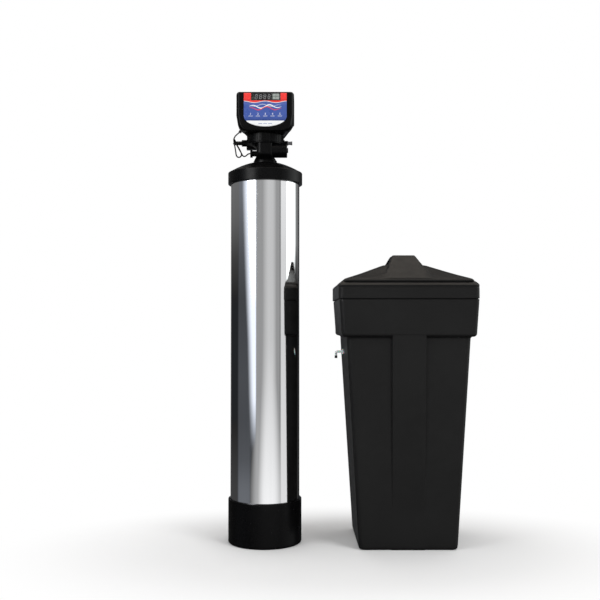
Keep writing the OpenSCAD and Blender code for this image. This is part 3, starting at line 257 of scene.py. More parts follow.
mouldedDefaults = {"stretch": (1, 1, 1), "cloud": 7, "smear": 26, "roughness": 0.45, "drift": 0.06,
                   "grain": 900, "strength": 0.25, "depth": 0.15, "edge": 0.6, "specular": 0.4,
                   "milky": 0.0, "milkyDepth": 4}
mouldedValues = {
    "black_plastic": {"colour": (0.0024, 0.0024, 0.0026), "roughness": 0.29, "specular": 0.085,
                      "grain": 1400, "depth": 0.06},
    "fibre": {"colour": (0.68, 0.64, 0.47), "shade": (0.5, 0.46, 0.3), "stretch": (1, 1, 9),
              "roughness": 0.3},
    "white_plastic": {"colour": (0.78, 0.78, 0.76), "shade": (0.72, 0.72, 0.69), "roughness": 0.4},
    "salt_black": {"colour": (0.0078, 0.0078, 0.0078), "shade": (0.006, 0.006, 0.006),
                   "roughness": 0.42, "specular": 0.16, "grain": 520, "depth": 0.35,
                   "strength": 0.3, "cloud": 5, "edge": 1.5},
    "grey_plastic": {"colour": (0.16, 0.16, 0.17), "roughness": 0.45},
    "gravel": {"colour": (0.38, 0.31, 0.22), "shade": (0.16, 0.13, 0.1), "cloud": 180,
               "grain": 160, "depth": 2.5, "strength": 0.9, "roughness": 0.8},
    "resin": {"colour": (0.5, 0.2, 0.04), "shade": (0.3, 0.09, 0.015), "cloud": 700,
              "grain": 800, "depth": 0.5, "strength": 0.8, "roughness": 0.3, "milky": 0.2},
    "rubber": {"colour": (0.014, 0.014, 0.014), "roughness": 0.6, "specular": 0.3},
    "ceramic": {"colour": (0.82, 0.8, 0.74), "shade": (0.78, 0.75, 0.68), "roughness": 0.18,
                "grain": 3000, "depth": 0.02},
    "acetal": {"colour": (0.85, 0.84, 0.79), "shade": (0.8, 0.79, 0.72), "roughness": 0.35,
               "milky": 0.15},
    "blue_plastic": {"colour": (0.05, 0.17, 0.45), "roughness": 0.35},
    "red_plastic": {"colour": (0.6, 0.06, 0.04), "roughness": 0.35},
    "label": {"colour": (0.045, 0.09, 0.34), "shade": (0.04, 0.08, 0.31), "roughness": 0.3,
              "grain": 2200, "depth": 0.02, "edge": 0.1},
    "window": {"colour": (0.003, 0.003, 0.0035), "roughness": 0.4, "specular": 0.05,
               "grain": 3000, "depth": 0.01},
    "digits": {"colour": (0.85, 0.85, 0.82), "shade": (0.8, 0.8, 0.77), "roughness": 0.5},
    "board": {"colour": (0.02, 0.13, 0.05), "shade": (0.015, 0.09, 0.035), "cloud": 160,
              "roughness": 0.3},
    "key": {"colour": (0.28, 0.31, 0.285), "shade": (0.25, 0.28, 0.26), "roughness": 0.5,
            "edge": 0.8},
    "cable": {"colour": (0.003, 0.003, 0.003), "roughness": 0.5, "specular": 0.15, "grain": 1800},
    "clear_plastic": {"colour": (0.8, 0.82, 0.82), "shade": (0.75, 0.78, 0.78), "roughness": 0.3,
                      "milky": 0.5},
    "float_red": {"colour": (0.6, 0.09, 0.05), "shade": (0.5, 0.07, 0.04), "grain": 500,
                  "depth": 0.6, "roughness": 0.7},
}
metalDefaults = {"stretch": (1, 1, 0.02), "lines": 60, "ripple": 4, "rippleStretch": (1, 1, 0.3),
                 "strength": 0.1, "depth": 1.0, "edge": 0.4}
metalValues = {
    "steel": {"colour": (0.8, 0.805, 0.815), "roughness": 0.07, "strength": 0.03},
    "magnet": {"colour": (0.55, 0.55, 0.57), "roughness": 0.25, "stretch": (1, 1, 1), "lines": 300},
    "motor_steel": {"colour": (0.56, 0.57, 0.6), "roughness": 0.32, "stretch": (1, 1, 1),
                    "lines": 200},
    "screen_steel": {"colour": (0.6, 0.61, 0.63), "roughness": 0.35, "stretch": (1, 1, 1),
                     "lines": 900, "strength": 0.4},
}
printColours = {"labelRed": (0.78, 0.035, 0.03), "labelWhite": (0.8, 0.81, 0.82)}
lensValues = {"shade": (0.6, 0.6, 0.62), "colour": (0.66, 0.66, 0.68), "cloud": 40, "smear": 90,
              "roughness": (0.03, 0.07), "bending": 1.46, "specular": 0.15}


def newFinish(name):
    finish = bpy.data.materials.new(name)
    finish.use_nodes = True
    return finish, finish.node_tree, finish.node_tree.nodes["Principled BSDF"]


def addNode(tree, kind, inputs=None, **settings):
    # A shader node with its settings. An input that is another node's output is linked.
    node = tree.nodes.new(kind)
    for key, value in settings.items():
        setattr(node, key, value)
    for key, value in (inputs or {}).items():
        if isinstance(value, bpy.types.NodeSocket):
            tree.links.new(value, node.inputs[key])
        else:
            node.inputs[key].default_value = value
    return node


def noiseOn(tree, scale, stretch=(1, 1, 1), detail=3.0):
    # Noise in the object's own coordinates, in metres.
    where = addNode(tree, "ShaderNodeTexCoord")
    mapped = addNode(tree, "ShaderNodeMapping", {"Vector": where.outputs["Object"],
                                                 "Scale": stretch})
    noise = addNode(tree, "ShaderNodeTexNoise", {"Vector": mapped.outputs["Vector"], "Scale": scale,
                                                 "Detail": detail, "Roughness": 0.55})
    return noise.outputs["Fac"]


def spread(tree, value, low, high):
    # The middle range of a noise, 0.3 to 0.7, stretched to low and high.
    node = addNode(tree, "ShaderNodeMapRange", {"Value": value, "From Min": 0.3, "From Max": 0.7,
                                                "To Min": low, "To Max": high})
    return node.outputs["Result"]


def mixColours(tree, factor, first, second):
    node = addNode(tree, "ShaderNodeMix", {0: factor, 6: (*first, 1), 7: (*second, 1)},
                   data_type="RGBA")
    return node.outputs[2]


def colourIn(tree, shader, factor, shade, colour):
    tree.links.new(mixColours(tree, factor, shade, colour), shader.inputs["Base Color"])


def roughnessIn(tree, shader, noise, low, high):
    tree.links.new(spread(tree, noise, low, high), shader.inputs["Roughness"])


def reliefIn(tree, shader, noise, v):
    # Edges softened by a radius, and over them a bump that follows the noise.
    edge = addNode(tree, "ShaderNodeBevel", {"Radius": v["edge"] * mm}, samples=4)
    bump = addNode(tree, "ShaderNodeBump", {"Height": noise, "Strength": v["strength"],
                                            "Distance": v["depth"] * mm,
                                            "Normal": edge.outputs["Normal"]})
    tree.links.new(bump.outputs["Normal"], shader.inputs["Normal"])


def mouldedFinish(name, given):
    # Moulded plastic: a fine grain in the bump, and a cloudy change of colour and gloss.
    v = {**mouldedDefaults, "shade": tuple(c * 0.8 for c in given["colour"]), **given}
    finish, tree, shader = newFinish(name)
    cloud = spread(tree, noiseOn(tree, v["cloud"], v["stretch"]), 0, 1)
    colourIn(tree, shader, cloud, v["shade"], v["colour"])
    gloss, drift = v["roughness"], v["drift"]
    roughnessIn(tree, shader, noiseOn(tree, v["smear"]), gloss - drift, gloss + drift)
    reliefIn(tree, shader, noiseOn(tree, v["grain"], detail=2), v)
    shader.inputs["Specular IOR Level"].default_value = v["specular"]
    shader.inputs["Subsurface Weight"].default_value = v["milky"]
    shader.inputs["Subsurface Scale"].default_value = v["milkyDepth"] * mm
    return finish


def metalFinish(name, given):
    # Polished or plated metal: fine lines drawn along one way, and a slight ripple of the sheet.
    v = {**metalDefaults, **given}
    finish, tree, shader = newFinish(name)
    lines = noiseOn(tree, v["lines"], v["stretch"], detail=4)
    shade = tuple(c * 0.96 for c in v["colour"])
    colourIn(tree, shader, spread(tree, lines, 0, 1), shade, v["colour"])
    roughnessIn(tree, shader, lines, v["roughness"] * 0.8, v["roughness"] * 1.25)
    reliefIn(tree, shader, noiseOn(tree, v["ripple"], v["rippleStretch"], detail=1), v)
    shader.inputs["Metallic"].default_value = 1.0
    return finish


def lensFinish(name, v):
    # Clear smoked plastic.
    finish, tree, shader = newFinish(name)
    colourIn(tree, shader, noiseOn(tree, v["cloud"]), v["shade"], v["colour"])
    roughnessIn(tree, shader, noiseOn(tree, v["smear"]), *v["roughness"])
    shader.inputs["Transmission Weight"].default_value = 1.0
    shader.inputs["IOR"].default_value = v["bending"]
    shader.inputs["Specular IOR Level"].default_value = v["specular"]
    return finish


finishes = {name: mouldedFinish(name, v) for name, v in mouldedValues.items()}
finishes.update({name: metalFinish(name, v) for name, v in metalValues.items()})
for name, colour in printColours.items():
    tint = {"colour": colour, "shade": tuple(c * 0.95 for c in colour)}
    finishes[name] = mouldedFinish(name, {**mouldedValues["label"], **tint})
finishes["lens"] = lensFinish("lens", lensValues)
slotOf = {part["node"]: part["material_slot"] for part in frame["record"]["subparts"]}
for nodeName, thing in nodes.items():
    thing.data.materials.clear()
    thing.data.materials.append(finishes[slotOf[nodeName]])
print("finishes: made", len(finishes))

# Floor, backdrop and light

studio = {
    "floorSize": 30, "floorDrop": 0.0004, "floorColour": 0.8, "floorRoughness": 0.9,
    "floorMiddle": (0.3, -0.24, 0), "floorStretch": (1, 1.6, 1), "floorNear": 0.55, "floorFar": 1.3,
    "skyLight": 0.72, "wallRadius": 3.4, "wallLow": -2.4, "wallHigh": 4.6, "wallSteps": (141, 720),
    "drape": (0.02, 0.022, 0.024), "pitGlow": 0.05, "ceilingGlow": (1.75, 1.58, 1.4),
    "ceilingRadius": 2.2,
}
# Bright panels of the wall, seen only in gloss. Each value is a list of (height, value) pairs: the
# left and right edges in degrees from the front, the softness of each edge in degrees and the glow.
# The panel's tint comes last.
white, cool, pale = (1, 1, 1), (0.93, 0.985, 1.09), (0.97, 1.0, 0.99)
panelKeys = ("left", "right", "softLeft", "softRight", "glow")
panels = [
    ([(0.1, -43), (0.7, -50), (1.8, -71)], [(0, -27)], [(0.1, 26), (0.7, 26), (1.8, 34)], [(0, 4)],
     [(-0.14, 0), (0.26, 1.3)], cool),
    ([(0.9, -38), (1.3, -46), (1.8, -57)], [(0, -30)], [(0, 7)], [(0, 3)],
     [(0.9, 0), (1.25, 6), (1.5, 8)], white),
    ([(-0.4, -40), (0.1, -30)], [(0, 52)], [(-0.4, 40), (0.2, 8)], [(0, 6)],
     [(-1.1, 0.1), (-0.55, 0.55), (0.3, 0.38)], white),
    ([(-0.4, -20), (0.4, -8)], [(-0.4, 56), (0.4, 40)], [(0, 46)], [(-0.4, 56), (0.6, 32)],
     [(-1.1, 0.1), (-0.55, 1.14), (0.7, 0.7), (1.3, 0.68)], white),
    ([(0, 54)], [(0, 80)], [(0, 5)], [(0, 5)],
     [(-1.1, 0.2), (-0.55, 0.92), (0.7, 0.8), (1.3, 0.82), (1.8, 0.98)], white),
    ([(0, 77)], [(0.9, 104), (1.4, 119)], [(0, 5)], [(0.9, 20), (1.4, 34)],
     [(-1.1, 0.3), (-0.55, 1.28), (0.9, 1.28), (1.3, 2.6)], pale),
    ([(0, -98)], [(0, -42)], [(0, 14)], [(0, 24)],
     [(-0.42, 0.18), (-0.2, 0.11), (0.1, 0.085), (0.4, 0.09), (1.0, 0.07), (1.3, 0.1), (1.8, 0.19)],
     cool),
    ([(0, -150)], [(0, -84)], [(0, 20)], [(0, 10)],
     [(-0.42, 0.06), (0.1, 0.02), (0.98, 0.02), (1.3, 0.06), (1.58, 0.14), (1.8, 0.17)], white),
    ([(0, 128)], [(0, 150)], [(0, 12)], [(0, 12)], [(0, 0.04), (1.1, 0.04), (1.4, 0.2)], white),
    ([(0, -168)], [(0, -155)], [(0, 5)], [(0, 5)], [(0, 0.32)], white),
    ([(0, 166)], [(0, 188)], [(0, 6)], [(0, 6)],
     [(0.2, 0.05), (0.78, 0.08), (0.9, 0.36), (1.0, 0.36), (1.3, 0.05)], cool),
]
lamps = [  # name, place, aim, width, height, power, colour
    ("keyBox", (2.9, -3.0, 3.2), (0.3, 0, 0.8), 1.8, 2.4, 88, (1, 1, 1)),
    ("fillBox", (-3.2, -2.6, 2.2), (0.2, 0, 0.9), 1.6, 2.4, 42, (0.96, 0.98, 1)),
    ("topBox", (0.4, 0.4, 4.2), (0.3, 0, 0.8), 2.4, 2.4, 28, (1, 0.95, 0.9)),
]


def makeSky(v):
    # White to the camera and to gloss, and dimmer as the light that falls on the object.
    world = bpy.data.worlds.new("studio")
    world.use_nodes = True
    scene.world = world
    tree = world.node_tree
    back = tree.nodes["Background"]
    ray = addNode(tree, "ShaderNodeLightPath")
    seen = ray.outputs["Is Camera Ray"]
    for kind in ("Is Glossy Ray", "Is Transmission Ray"):
        either = addNode(tree, "ShaderNodeMath", {0: seen, 1: ray.outputs[kind]},
                         operation="MAXIMUM")
        seen = either.outputs[0]
    strength = addNode(tree, "ShaderNodeMapRange", {"Value": seen, "To Min": v["skyLight"],
                                                    "To Max": 1.0})
    back.inputs["Color"].default_value = (1, 1, 1, 1)
    tree.links.new(strength.outputs["Result"], back.inputs["Strength"])


def makeFloor(v):
    # Round the object the floor takes shadows. Further out it fades into the white backdrop.
    half = v["floorSize"] / 2
    corners = [(-half, -half, 0), (half, -half, 0), (half, half, 0), (-half, half, 0)]
    mesh = bpy.data.meshes.new("floor")
    mesh.from_pydata(corners, [], [(0, 1, 2, 3)])
    floor = newObject("floor", mesh)
    floor.location.z = -v["floorDrop"]
    finish, tree, shader = newFinish("floor")
    shader.inputs["Base Color"].default_value = (v["floorColour"],) * 3 + (1,)
    shader.inputs["Roughness"].default_value = v["floorRoughness"]
    shader.inputs["Specular IOR Level"].default_value = 0.0
    place = addNode(tree, "ShaderNodeNewGeometry")
    spot = addNode(tree, "ShaderNodeVectorMath",
                   {0: place.outputs["Position"], 1: v["floorStretch"]}, operation="MULTIPLY")
    away = addNode(tree, "ShaderNodeVectorMath",
                   {0: spot.outputs["Vector"], 1: v["floorMiddle"]}, operation="DISTANCE")
    fade = addNode(tree, "ShaderNodeMapRange", {"Value": away.outputs["Value"],
                                                "From Min": v["floorNear"],
                                                "From Max": v["floorFar"]},
                   interpolation_type="SMOOTHSTEP")
    ray = addNode(tree, "ShaderNodeLightPath")
    blank = addNode(tree, "ShaderNodeMath",
                    {0: fade.outputs["Result"], 1: ray.outputs["Is Camera Ray"]},
                    operation="MULTIPLY")
    glow = addNode(tree, "ShaderNodeEmission", {"Color": (1, 1, 1, 1), "Strength": 1.0})
    mix = addNode(tree, "ShaderNodeMixShader", {0: blank.outputs[0], 1: shader.outputs[0],
                                                2: glow.outputs[0]})
    tree.links.new(mix.outputs[0], tree.nodes["Material Output"].inputs["Surface"])
    mesh.materials.append(finish)
    floor.visible_glossy = False


def softBand(angle, left, right, softLeft, softRight):
    # One inside the two edges and nought outside, with a smooth ramp across each edge's softness.
    away = (angle - (left + right) / 2 + 180) % 360 - 180
    soft = np.where(away < 0, softLeft, softRight)
    t = np.clip(((right - left) / 2 - np.abs(away)) / soft + 0.5, 0, 1)
    return t * t * (3 - 2 * t)


def makeWall(v):
    # Glow round the wall: the strongest panel at each place, over a dark drape. A dark pit closes
    # the wall below and a bright ceiling above.
    rows, columns = v["wallSteps"]
    angle = np.linspace(-180, 180, columns, endpoint=False)
    height = np.linspace(v["wallLow"], v["wallHigh"], rows)
    glow = np.broadcast_to(np.array(v["drape"]), (rows, columns, 3)).copy()
    for *curves, tint in panels:
        at = {key: np.interp(height, *zip(*curve))[:, None]
              for key, curve in zip(panelKeys, curves)}
        strength = at.pop("glow")
        glow = np.maximum(glow, (softBand(angle[None], **at) * strength)[..., None] * tint)
    pit, ceiling = (np.full((2, columns, 3), v[key]) for key in ("pitGlow", "ceilingGlow"))
    glow = np.concatenate([pit, glow, ceiling])
    height = np.concatenate([[v["wallLow"]] * 2, height, [v["wallHigh"]] * 2])
    radius = np.concatenate([[0.001, v["wallRadius"]], np.full(rows, v["wallRadius"]),
                             [v["ceilingRadius"], 0.001]])[:, None]
    a = np.broadcast_to(np.radians(angle), glow.shape[:2])
    up = np.broadcast_to(height[:, None], a.shape)
    mesh = gridMesh(np.stack([radius * np.sin(a), -radius * np.cos(a), up], -1) / mm)
    mark = mesh.attributes.new("glow", "FLOAT_COLOR", "POINT")
    shades = np.concatenate([glow, np.ones((*a.shape, 1))], -1)
    mark.data.foreach_set("color", shades.ravel().astype(np.float32))
    finish, tree, shader = newFinish("studioWall")
    tree.nodes.remove(shader)
    read = addNode(tree, "ShaderNodeAttribute", attribute_name="glow")
    shine = addNode(tree, "ShaderNodeEmission", {"Color": read.outputs["Color"], "Strength": 1.0})
    tree.links.new(shine.outputs[0], tree.nodes["Material Output"].inputs["Surface"])
    mesh.materials.append(finish)
    wall = newObject("studioWall", mesh)
    for kind in ("camera", "diffuse", "transmission", "shadow", "volume_scatter"):
        setattr(wall, "visible_" + kind, False)


def makeLamps():
    for name, place, aim, width, height, power, colour in lamps:
        data = bpy.data.lights.new(name, "AREA")
        data.shape = "RECTANGLE"
        data.size, data.size_y, data.energy, data.color = width, height, power, colour
        lamp = newObject(name, data)
        lamp.location = place
        lamp.rotation_euler = (Vector(aim) - Vector(place)).to_track_quat("-Z", "Y").to_euler()
        lamp.visible_glossy = False


scene.view_settings.view_transform = "Standard"
makeSky(studio)
makeFloor(studio)
makeWall(studio)
makeLamps()
print("stage: floor, wall and lamps")

# Sensor cable, with its gland in the head's wall and its tie

cable = {
    "diameter": 4.8, "sides": 14, "steps": 6, "straight": 4,
    "glandEnd": (-97.08, -20, 1526.74), "glandWay": (-0.766, 0, -0.643), "glandDepth": 8.2,
    "glandPlay": 0.05, "probeEnd": (-56.35, 0, 1450.8),
    "points": [(-106, -20.5, 1519), (-113.5, -21.5, 1510.5), (-117, -23.5, 1499),
               (-115.5, -25.8, 1486), (-112, -27.5, 1468), (-109.3, -28, 1452), (-108, -28, 1442),
               (-104.8, -27.6, 1434.8), (-98, -27.2, 1432), (-91.2, -26.8, 1434.8),
               (-88.3, -26.3, 1442), (-89.8, -25.5, 1450), (-98, -23, 1467), (-109, -20.6, 1484),
               (-114, -18.8, 1493), (-117, -15.5, 1500.5), (-117, -9.5, 1503.6),
               (-114.5, -3, 1500.8), (-111, -0.8, 1493.5), (-107.5, -3, 1484), (-101, -9.5, 1471),
               (-93, -13.5, 1456.5), (-89.4, -13.8, 1450.2), (-86.8, -13.4, 1444.8),
               (-84.2, -12.5, 1441), (-80.6, -11.2, 1438.9), (-76.4, -9.4, 1438.9),
               (-72.8, -7.3, 1441.1), (-69, -4.8, 1444.9), (-65, -2, 1448.8)],
    # place along the cable and radius
    "glandRibs": [(-8, 3.9), (1.4, 3.9), (1.4, 6.2), (1.8, 6.6), (3.4, 6.6), (3.8, 6.2), (3.8, 4.9),
                  (4.6, 4.9), (4.6, 5.6), (5.4, 5.5), (5.4, 4.6), (6.1, 4.6), (6.1, 5.2),
                  (6.9, 5.1), (6.9, 4.3), (7.6, 4.2), (7.6, 4.6), (8.2, 4.2)],
    "tie": (-111.8, -23.6, 1484), "tieHole": (13, 10.6, 4.5), "tieWall": 1.2,
    "tieCorners": (1.6, 1.2),
}


def smoothRoute(points, steps):
    # Between two points runs a cubic. Its slope at each is half the step between the neighbours.
    p = np.asarray(points, float)
    p = np.concatenate([p[:1], p, p[-1:]])
    t = (np.arange(steps) / steps)[None, :, None]
    a, b, c, d = (p[k:len(p) - 3 + k][:, None] for k in range(4))
    curve = 0.5 * (2 * b + (c - a) * t + (2 * a - 5 * b + 4 * c - d) * t ** 2
                   + (3 * b - a - 3 * c + d) * t ** 3)
    return np.concatenate([curve.reshape(-1, 3), p[-1:]])


def makeCable(v):
    # A round tube along the route, a gland of turned ribs round its start, and a block with a
    # block taken out of it as the tie round two strands.
    start, way, stop = (np.array(v[k]) for k in ("glandEnd", "glandWay", "probeEnd"))
    lead = v["straight"]
    points = [start, start + lead * way, *v["points"], stop - [lead, 0, 0], stop]
    path = smoothRoute(points, v["steps"])
    piece = addPiece("sensorCableSheath", tubeMesh(path, v["diameter"] / 2, v["sides"]), "cable",
                     replaces=["sensor_cable"])
    ribs = [(radius, along - v["glandDepth"]) for along, radius in v["glandRibs"]]
    profile = closedProfile(v["diameter"] / 2 + v["glandPlay"], ribs)
    addPiece("cableGland", turnedMesh(profile, 48, start, way), "rubber", replaces=["cable_gland"])
    hole, wall = np.array(v["tieHole"]) / 2, v["tieWall"]
    outer = blockGrid(hole + (wall, wall, 0), v["tieCorners"][0]) + v["tie"]
    inner = blockGrid(hole + (0, 0, 1), v["tieCorners"][1]) + v["tie"]
    strap = looseObject(gridMesh(outer))
    cutAway(strap, looseObject(gridMesh(inner)))
    tie = addPiece("cableTieStrap", takeMesh(strap), "cable", replaces=["cable_tie"])


makeCable(cable)

# Resin tank: boot, jacket and collar

boot = {
    "radius": 136.4, "top": 161.4, "edge": 6, "lip": 2.5, "base": (40, 95), "wallFoot": 12,
    "lipInside": [(0.9, 0), (0.35, -0.6)],  # past the jacket's radius, and from the top
    "jacketGap": 0.3, "shelf": 0.9, "bowlTop": 112,
    # the vessel's round end sits in the bowl: its radius, middle height, depth and clearance
    "vessel": (127.3, 110, 80, 0.3), "bowl": (124.7, 70), "floor": 4,
}
jacket = {
    "radius": 128.5, "foot": 150.4, "top": 1347.5, "wall": 0.8, "turns": 360, "rows": 30,
    # the lap of the seam at the back: its height, its width in radians and how sharp its edges are
    "lap": 0.45, "lapWidth": 0.11, "lapEdges": (220, 60),
}
collar = {
    "radius": 139.25, "foot": 1332.3, "band": 43.7, "top": 1412.5, "bore": 45, "crown": 1.45,
    "footEdge": 1.5, "shoulder": 3, "wall": 3.5, "inset": 5, "seat": 8, "seatWidth": 5,
    "jacketGap": 0.3,
}


def makeBoot(v, tube):
    # A turned cup: flat foot, rounded edge, straight wall, a lip round the jacket, then the bowl,
    # height = middle - depth * square root of (1 - (x / radius) squared).
    top, lip, radius, seat = v["top"], v["lip"], tube["radius"], tube["foot"]
    outer = np.concatenate([
        [(0, 0), *((x, 0) for x in v["base"])],
        arcPoints((v["radius"] - v["edge"], v["edge"]), v["edge"], -90, 0, 9),
        linePoints((v["radius"], v["wallFoot"]), (v["radius"], top - 8), 30),
        arcPoints((v["radius"] - lip, top - lip), lip, 0, 90, 7),
        [(radius + out, top + up) for out, up in v["lipInside"]],
        [(radius + v["jacketGap"], seat), (radius - v["shelf"], seat - 0.2),
         (radius - v["shelf"], v["bowlTop"])]])
    vessel, middle, depth, gap = v["vessel"]
    bowl = [(x, middle - depth * math.sqrt(max(0, 1 - (x / vessel) ** 2)) - gap)
            for x in np.linspace(*v["bowl"], 12)]
    inner = v["bowl"][1]
    foot = [(inner, v["floor"] + 2), (inner - 2, v["floor"]), (0, v["floor"])]
    addPiece("bootShell", turnedMesh(np.concatenate([outer, bowl, foot]), 256), "black_plastic",
             replaces=["tank_boot"])


def makeJacket(v):
    # A cylinder whose radius steps out at the back by the lap: one smooth step less a softer one
    # further round, each 1 / (1 + e to the power of minus the angle times its sharpness).
    a = onceRound(v["turns"])
    first, second = v["lapEdges"]
    lap = v["lap"] * (1 / (1 + np.exp(-(a - np.pi / 2) * first))
                      - 1 / (1 + np.exp(-(a - np.pi / 2 - v["lapWidth"]) * second)))
    z = np.concatenate([[v["foot"] + 0.02], np.linspace(v["foot"] + 1, v["top"] - 1, v["rows"]),
                        [v["top"]]])
    skins = []
    for depth in (0, v["wall"]):
        r = v["radius"] - depth + lap
        skin = np.broadcast_arrays(r * np.cos(a), r * np.sin(a), z[:, None])
        skins.append(np.stack(skin, -1))
    points = np.concatenate([skins[0], skins[1][::-1]])
    addPiece("steelJacket", gridMesh(points, wrapAlong=True), "steel", replaces=["tank_jacket"])


def makeCollar(v, tube):
    # A straight band under a crown: height = top - rise * q to the crown's power, where q goes from
    # nought at the bore to one at the shoulder. The inside is the same crown, a wall lower.
    c, foot, top, bore, edge = v["radius"], v["foot"], v["top"], v["bore"], v["footEdge"]
    shoulder, band, wall, gap = v["shoulder"], v["foot"] + v["band"], v["wall"], v["jacketGap"]
    q = np.linspace(1, 0, 26)
    crown = np.stack([bore + (c - shoulder - bore) * q, top - (top - band) * q ** v["crown"]], -1)
    under = (crown - (0, wall))[::-1]
    under[:, 0] = np.minimum(under[:, 0], c - v["inset"])
    radius, jacketTop = tube["radius"], tube["top"]
    seat, inside = jacketTop + v["seat"], radius - v["seatWidth"]
    profile = np.concatenate([
        [(radius + gap, foot)], arcPoints((c - edge, foot + edge), edge, -90, 0, 6),
        linePoints((c, foot + 5), (c, band - 5), 10),
        arcPoints((c - shoulder, band - shoulder), shoulder, 0, 60, 6), crown[1:],
        [(bore, top - 2)], under,
        [(c - wall, band - 8), (c - wall, seat), (inside, seat), (inside, jacketTop + gap),
         (radius + gap, jacketTop + gap), (radius + gap, foot)]])
    addPiece("collarShell", turnedMesh(profile, 256), "black_plastic", replaces=["tank_collar"])


makeBoot(boot, jacket)
makeJacket(jacket)
makeCollar(collar, jacket)
print("tank: boot, jacket and collar")

# Valve neck: a waist that stands in front of the side barrel and flares out to the flange

valveNeck = {
    # height, half width, middle of the depth, half depth, squareness
    "rows": [(1419.4, 44.2, 0, 44.2, 2), (1421.5, 43.4, 0, 43.4, 2), (1425, 40.5, -3, 42.6, 2.2),
             (1430, 36.4, -9, 42.2, 2.6), (1435, 33.6, -14, 43.4, 3.1),
             (1440, 32.2, -16.5, 44.6, 3.6), (1446, 31.6, -17, 45, 4), (1452, 31.5, -17, 45, 4),
             (1474, 31.5, -17, 45, 4), (1482, 32.4, -17, 45, 3.8), (1487.4, 34.5, -17, 45, 3.4)],
    "levels": [(1419.4, 1446, 26), (1450, 1476, 8), (1478, 1487.4, 8)],  # from, to, count
    # place, way, radius and length of what is cut out for the inner neck and for the barrel
    "cuts": [((0, 0, 1410), (0, 0, 1), 30, 90), ((8.2, -30, 1463.5), (1, 0, 0), 27.05, 60)],
}


def signedPower(value, power):
    # The power of the size, with the sign put back.
    return np.sign(value) * np.abs(value) ** power


def makeValveNeck(v):
    # At each height |x / a|^n + |(y - m) / b|^n = 1, with a, m, b and n blended between the rows.
    rows = np.array(v["rows"], float)
    z = np.concatenate([np.linspace(*level) for level in v["levels"]])
    a, m, b, n = (np.interp(z, rows[:, 0], rows[:, k])[:, None] for k in (1, 2, 3, 4))
    t = onceRound(160)[None]
    x = a * signedPower(np.cos(t), 2 / n)
    y = m + b * signedPower(np.sin(t), 2 / n)
    waist = looseObject(gridMesh(capped(np.stack(np.broadcast_arrays(x, y, z[:, None]), -1))))
    for place, way, radius, length in v["cuts"]:
        cutAway(waist, cylinderAt(radius, place, way, length))
    addPiece("valveNeck", takeMesh(waist), "black_plastic", sharp=40)


makeValveNeck(valveNeck)

# Control head: a front and a rear shell

head = {
    "centre": 2, "halfWidth": 107, "floor": 1518.1, "top": 1666.6, "knee": 1580.7, "corner": 10,
    "lowRadius": 36, "lowX": 66.25, "front": -85, "part": -30, "rear": 62, "wall": 3,
    "partGap": 0.05, "partEdge": [(0.5, 0.4), (0.05, 0.6)],  # distance from the joint, inset
    "roundDepth": 26, "roundSide": 12.5, "roundTop": 5, "roundLow": 4.8, "rearRound": 3.5,
    "cutLow": 66.5, "cutHigh": 1572.0,
    "steps": (14, 22, 12, 150, 14, 26),  # along the floor, arc, flank, side, corner and top
    "frontSides": (-57, -54, -51, -48, -45, -42, -41, -40.6, -40.2, -39.8, -39, -36, -33, -31.2,
                   -30.9),
    # inside of the front: place, and how far in past the wall at the sides, top and floor
    "frontInside": [(-30.05, 0, 0, 0), (-45, 0, 0, 0), (-59, 0, 0, 0), (-70, 1.2, 0.5, 0.5),
                    (-79, 6, 1, 1.5), (-82, 9, 2, 3)],
    "grooveCount": 5, "groovePitch": 11, "grooveFoot": 1594.7, "grooveHeight": 3.4,
    "grooveDepth": 1.4, "grooveReach": (5, 45), "grooveEnds": 0.8, "grooveSides": 0.5,
    "shaft": (22, 0, 0), "lead": (5.5, 64, 46),  # hole radius and place
    "screwHole": 3.6, "bossRadius": 5.4, "bossFoot": 12,
    "screws": [(-98.8, 1652.6), (98.8, 1652.6), (-64.25, 1526.1), (64.25, 1526.1)],
    "ribSize": (1, 0.65, 22), "ribCorner": 0.5, "ribCount": 7, "ribPitch": 10, "ribFirst": -30,
    "ribLift": 0.15, "ribRise": 30,
}
displayWindow = {
    "left": -49, "right": 59, "low": 1632, "high": 1659, "back": -84.5, "thickness": 1.5,
    "corner": 0.5, "keyX": (36.0, 48.6), "keyZ": (1640.0, 1651.0), "keyHalf": (5.8, 5.1),
    "ledge": 1, "play": 0.1, "step": 0.5,
}


def headOutline(v, side, top, low, cut):
    # The head seen from the front: a flat floor, two big arcs, sloping flanks, straight sides and
    # small top corners. Towards the rear face each arc turns into a straight cut (cut = 1).
    w, r, zt = v["halfWidth"] - side, max(1.5, v["corner"] - top), v["top"] - top
    floor, arcMiddle = v["floor"] + low, (v["lowX"] - side + low, v["floor"] + v["lowRadius"])
    floorSteps, arcSteps, flankSteps, sideSteps, cornerSteps, topSteps = v["steps"]
    arc = arcPoints(arcMiddle, v["lowRadius"] - low, -90, -10, arcSteps) * (1 - cut)
    arc += linePoints((v["cutLow"] - side * 0.4, floor), (w, v["cutHigh"]), arcSteps) * cut
    half = np.concatenate([
        linePoints((0, floor), arc[0], floorSteps)[:-1], arc[:-1],
        linePoints(arc[-1], (w, v["knee"]), flankSteps)[:-1],
        linePoints((w, v["knee"]), (w, zt - r), sideSteps)[:-1],
        arcPoints((w - r, zt - r), r, 0, 90, cornerSteps)[:-1],
        linePoints((w - r, zt), (0, zt), topSteps)])
    return np.concatenate([half, half[-2:0:-1] * (-1, 1)])


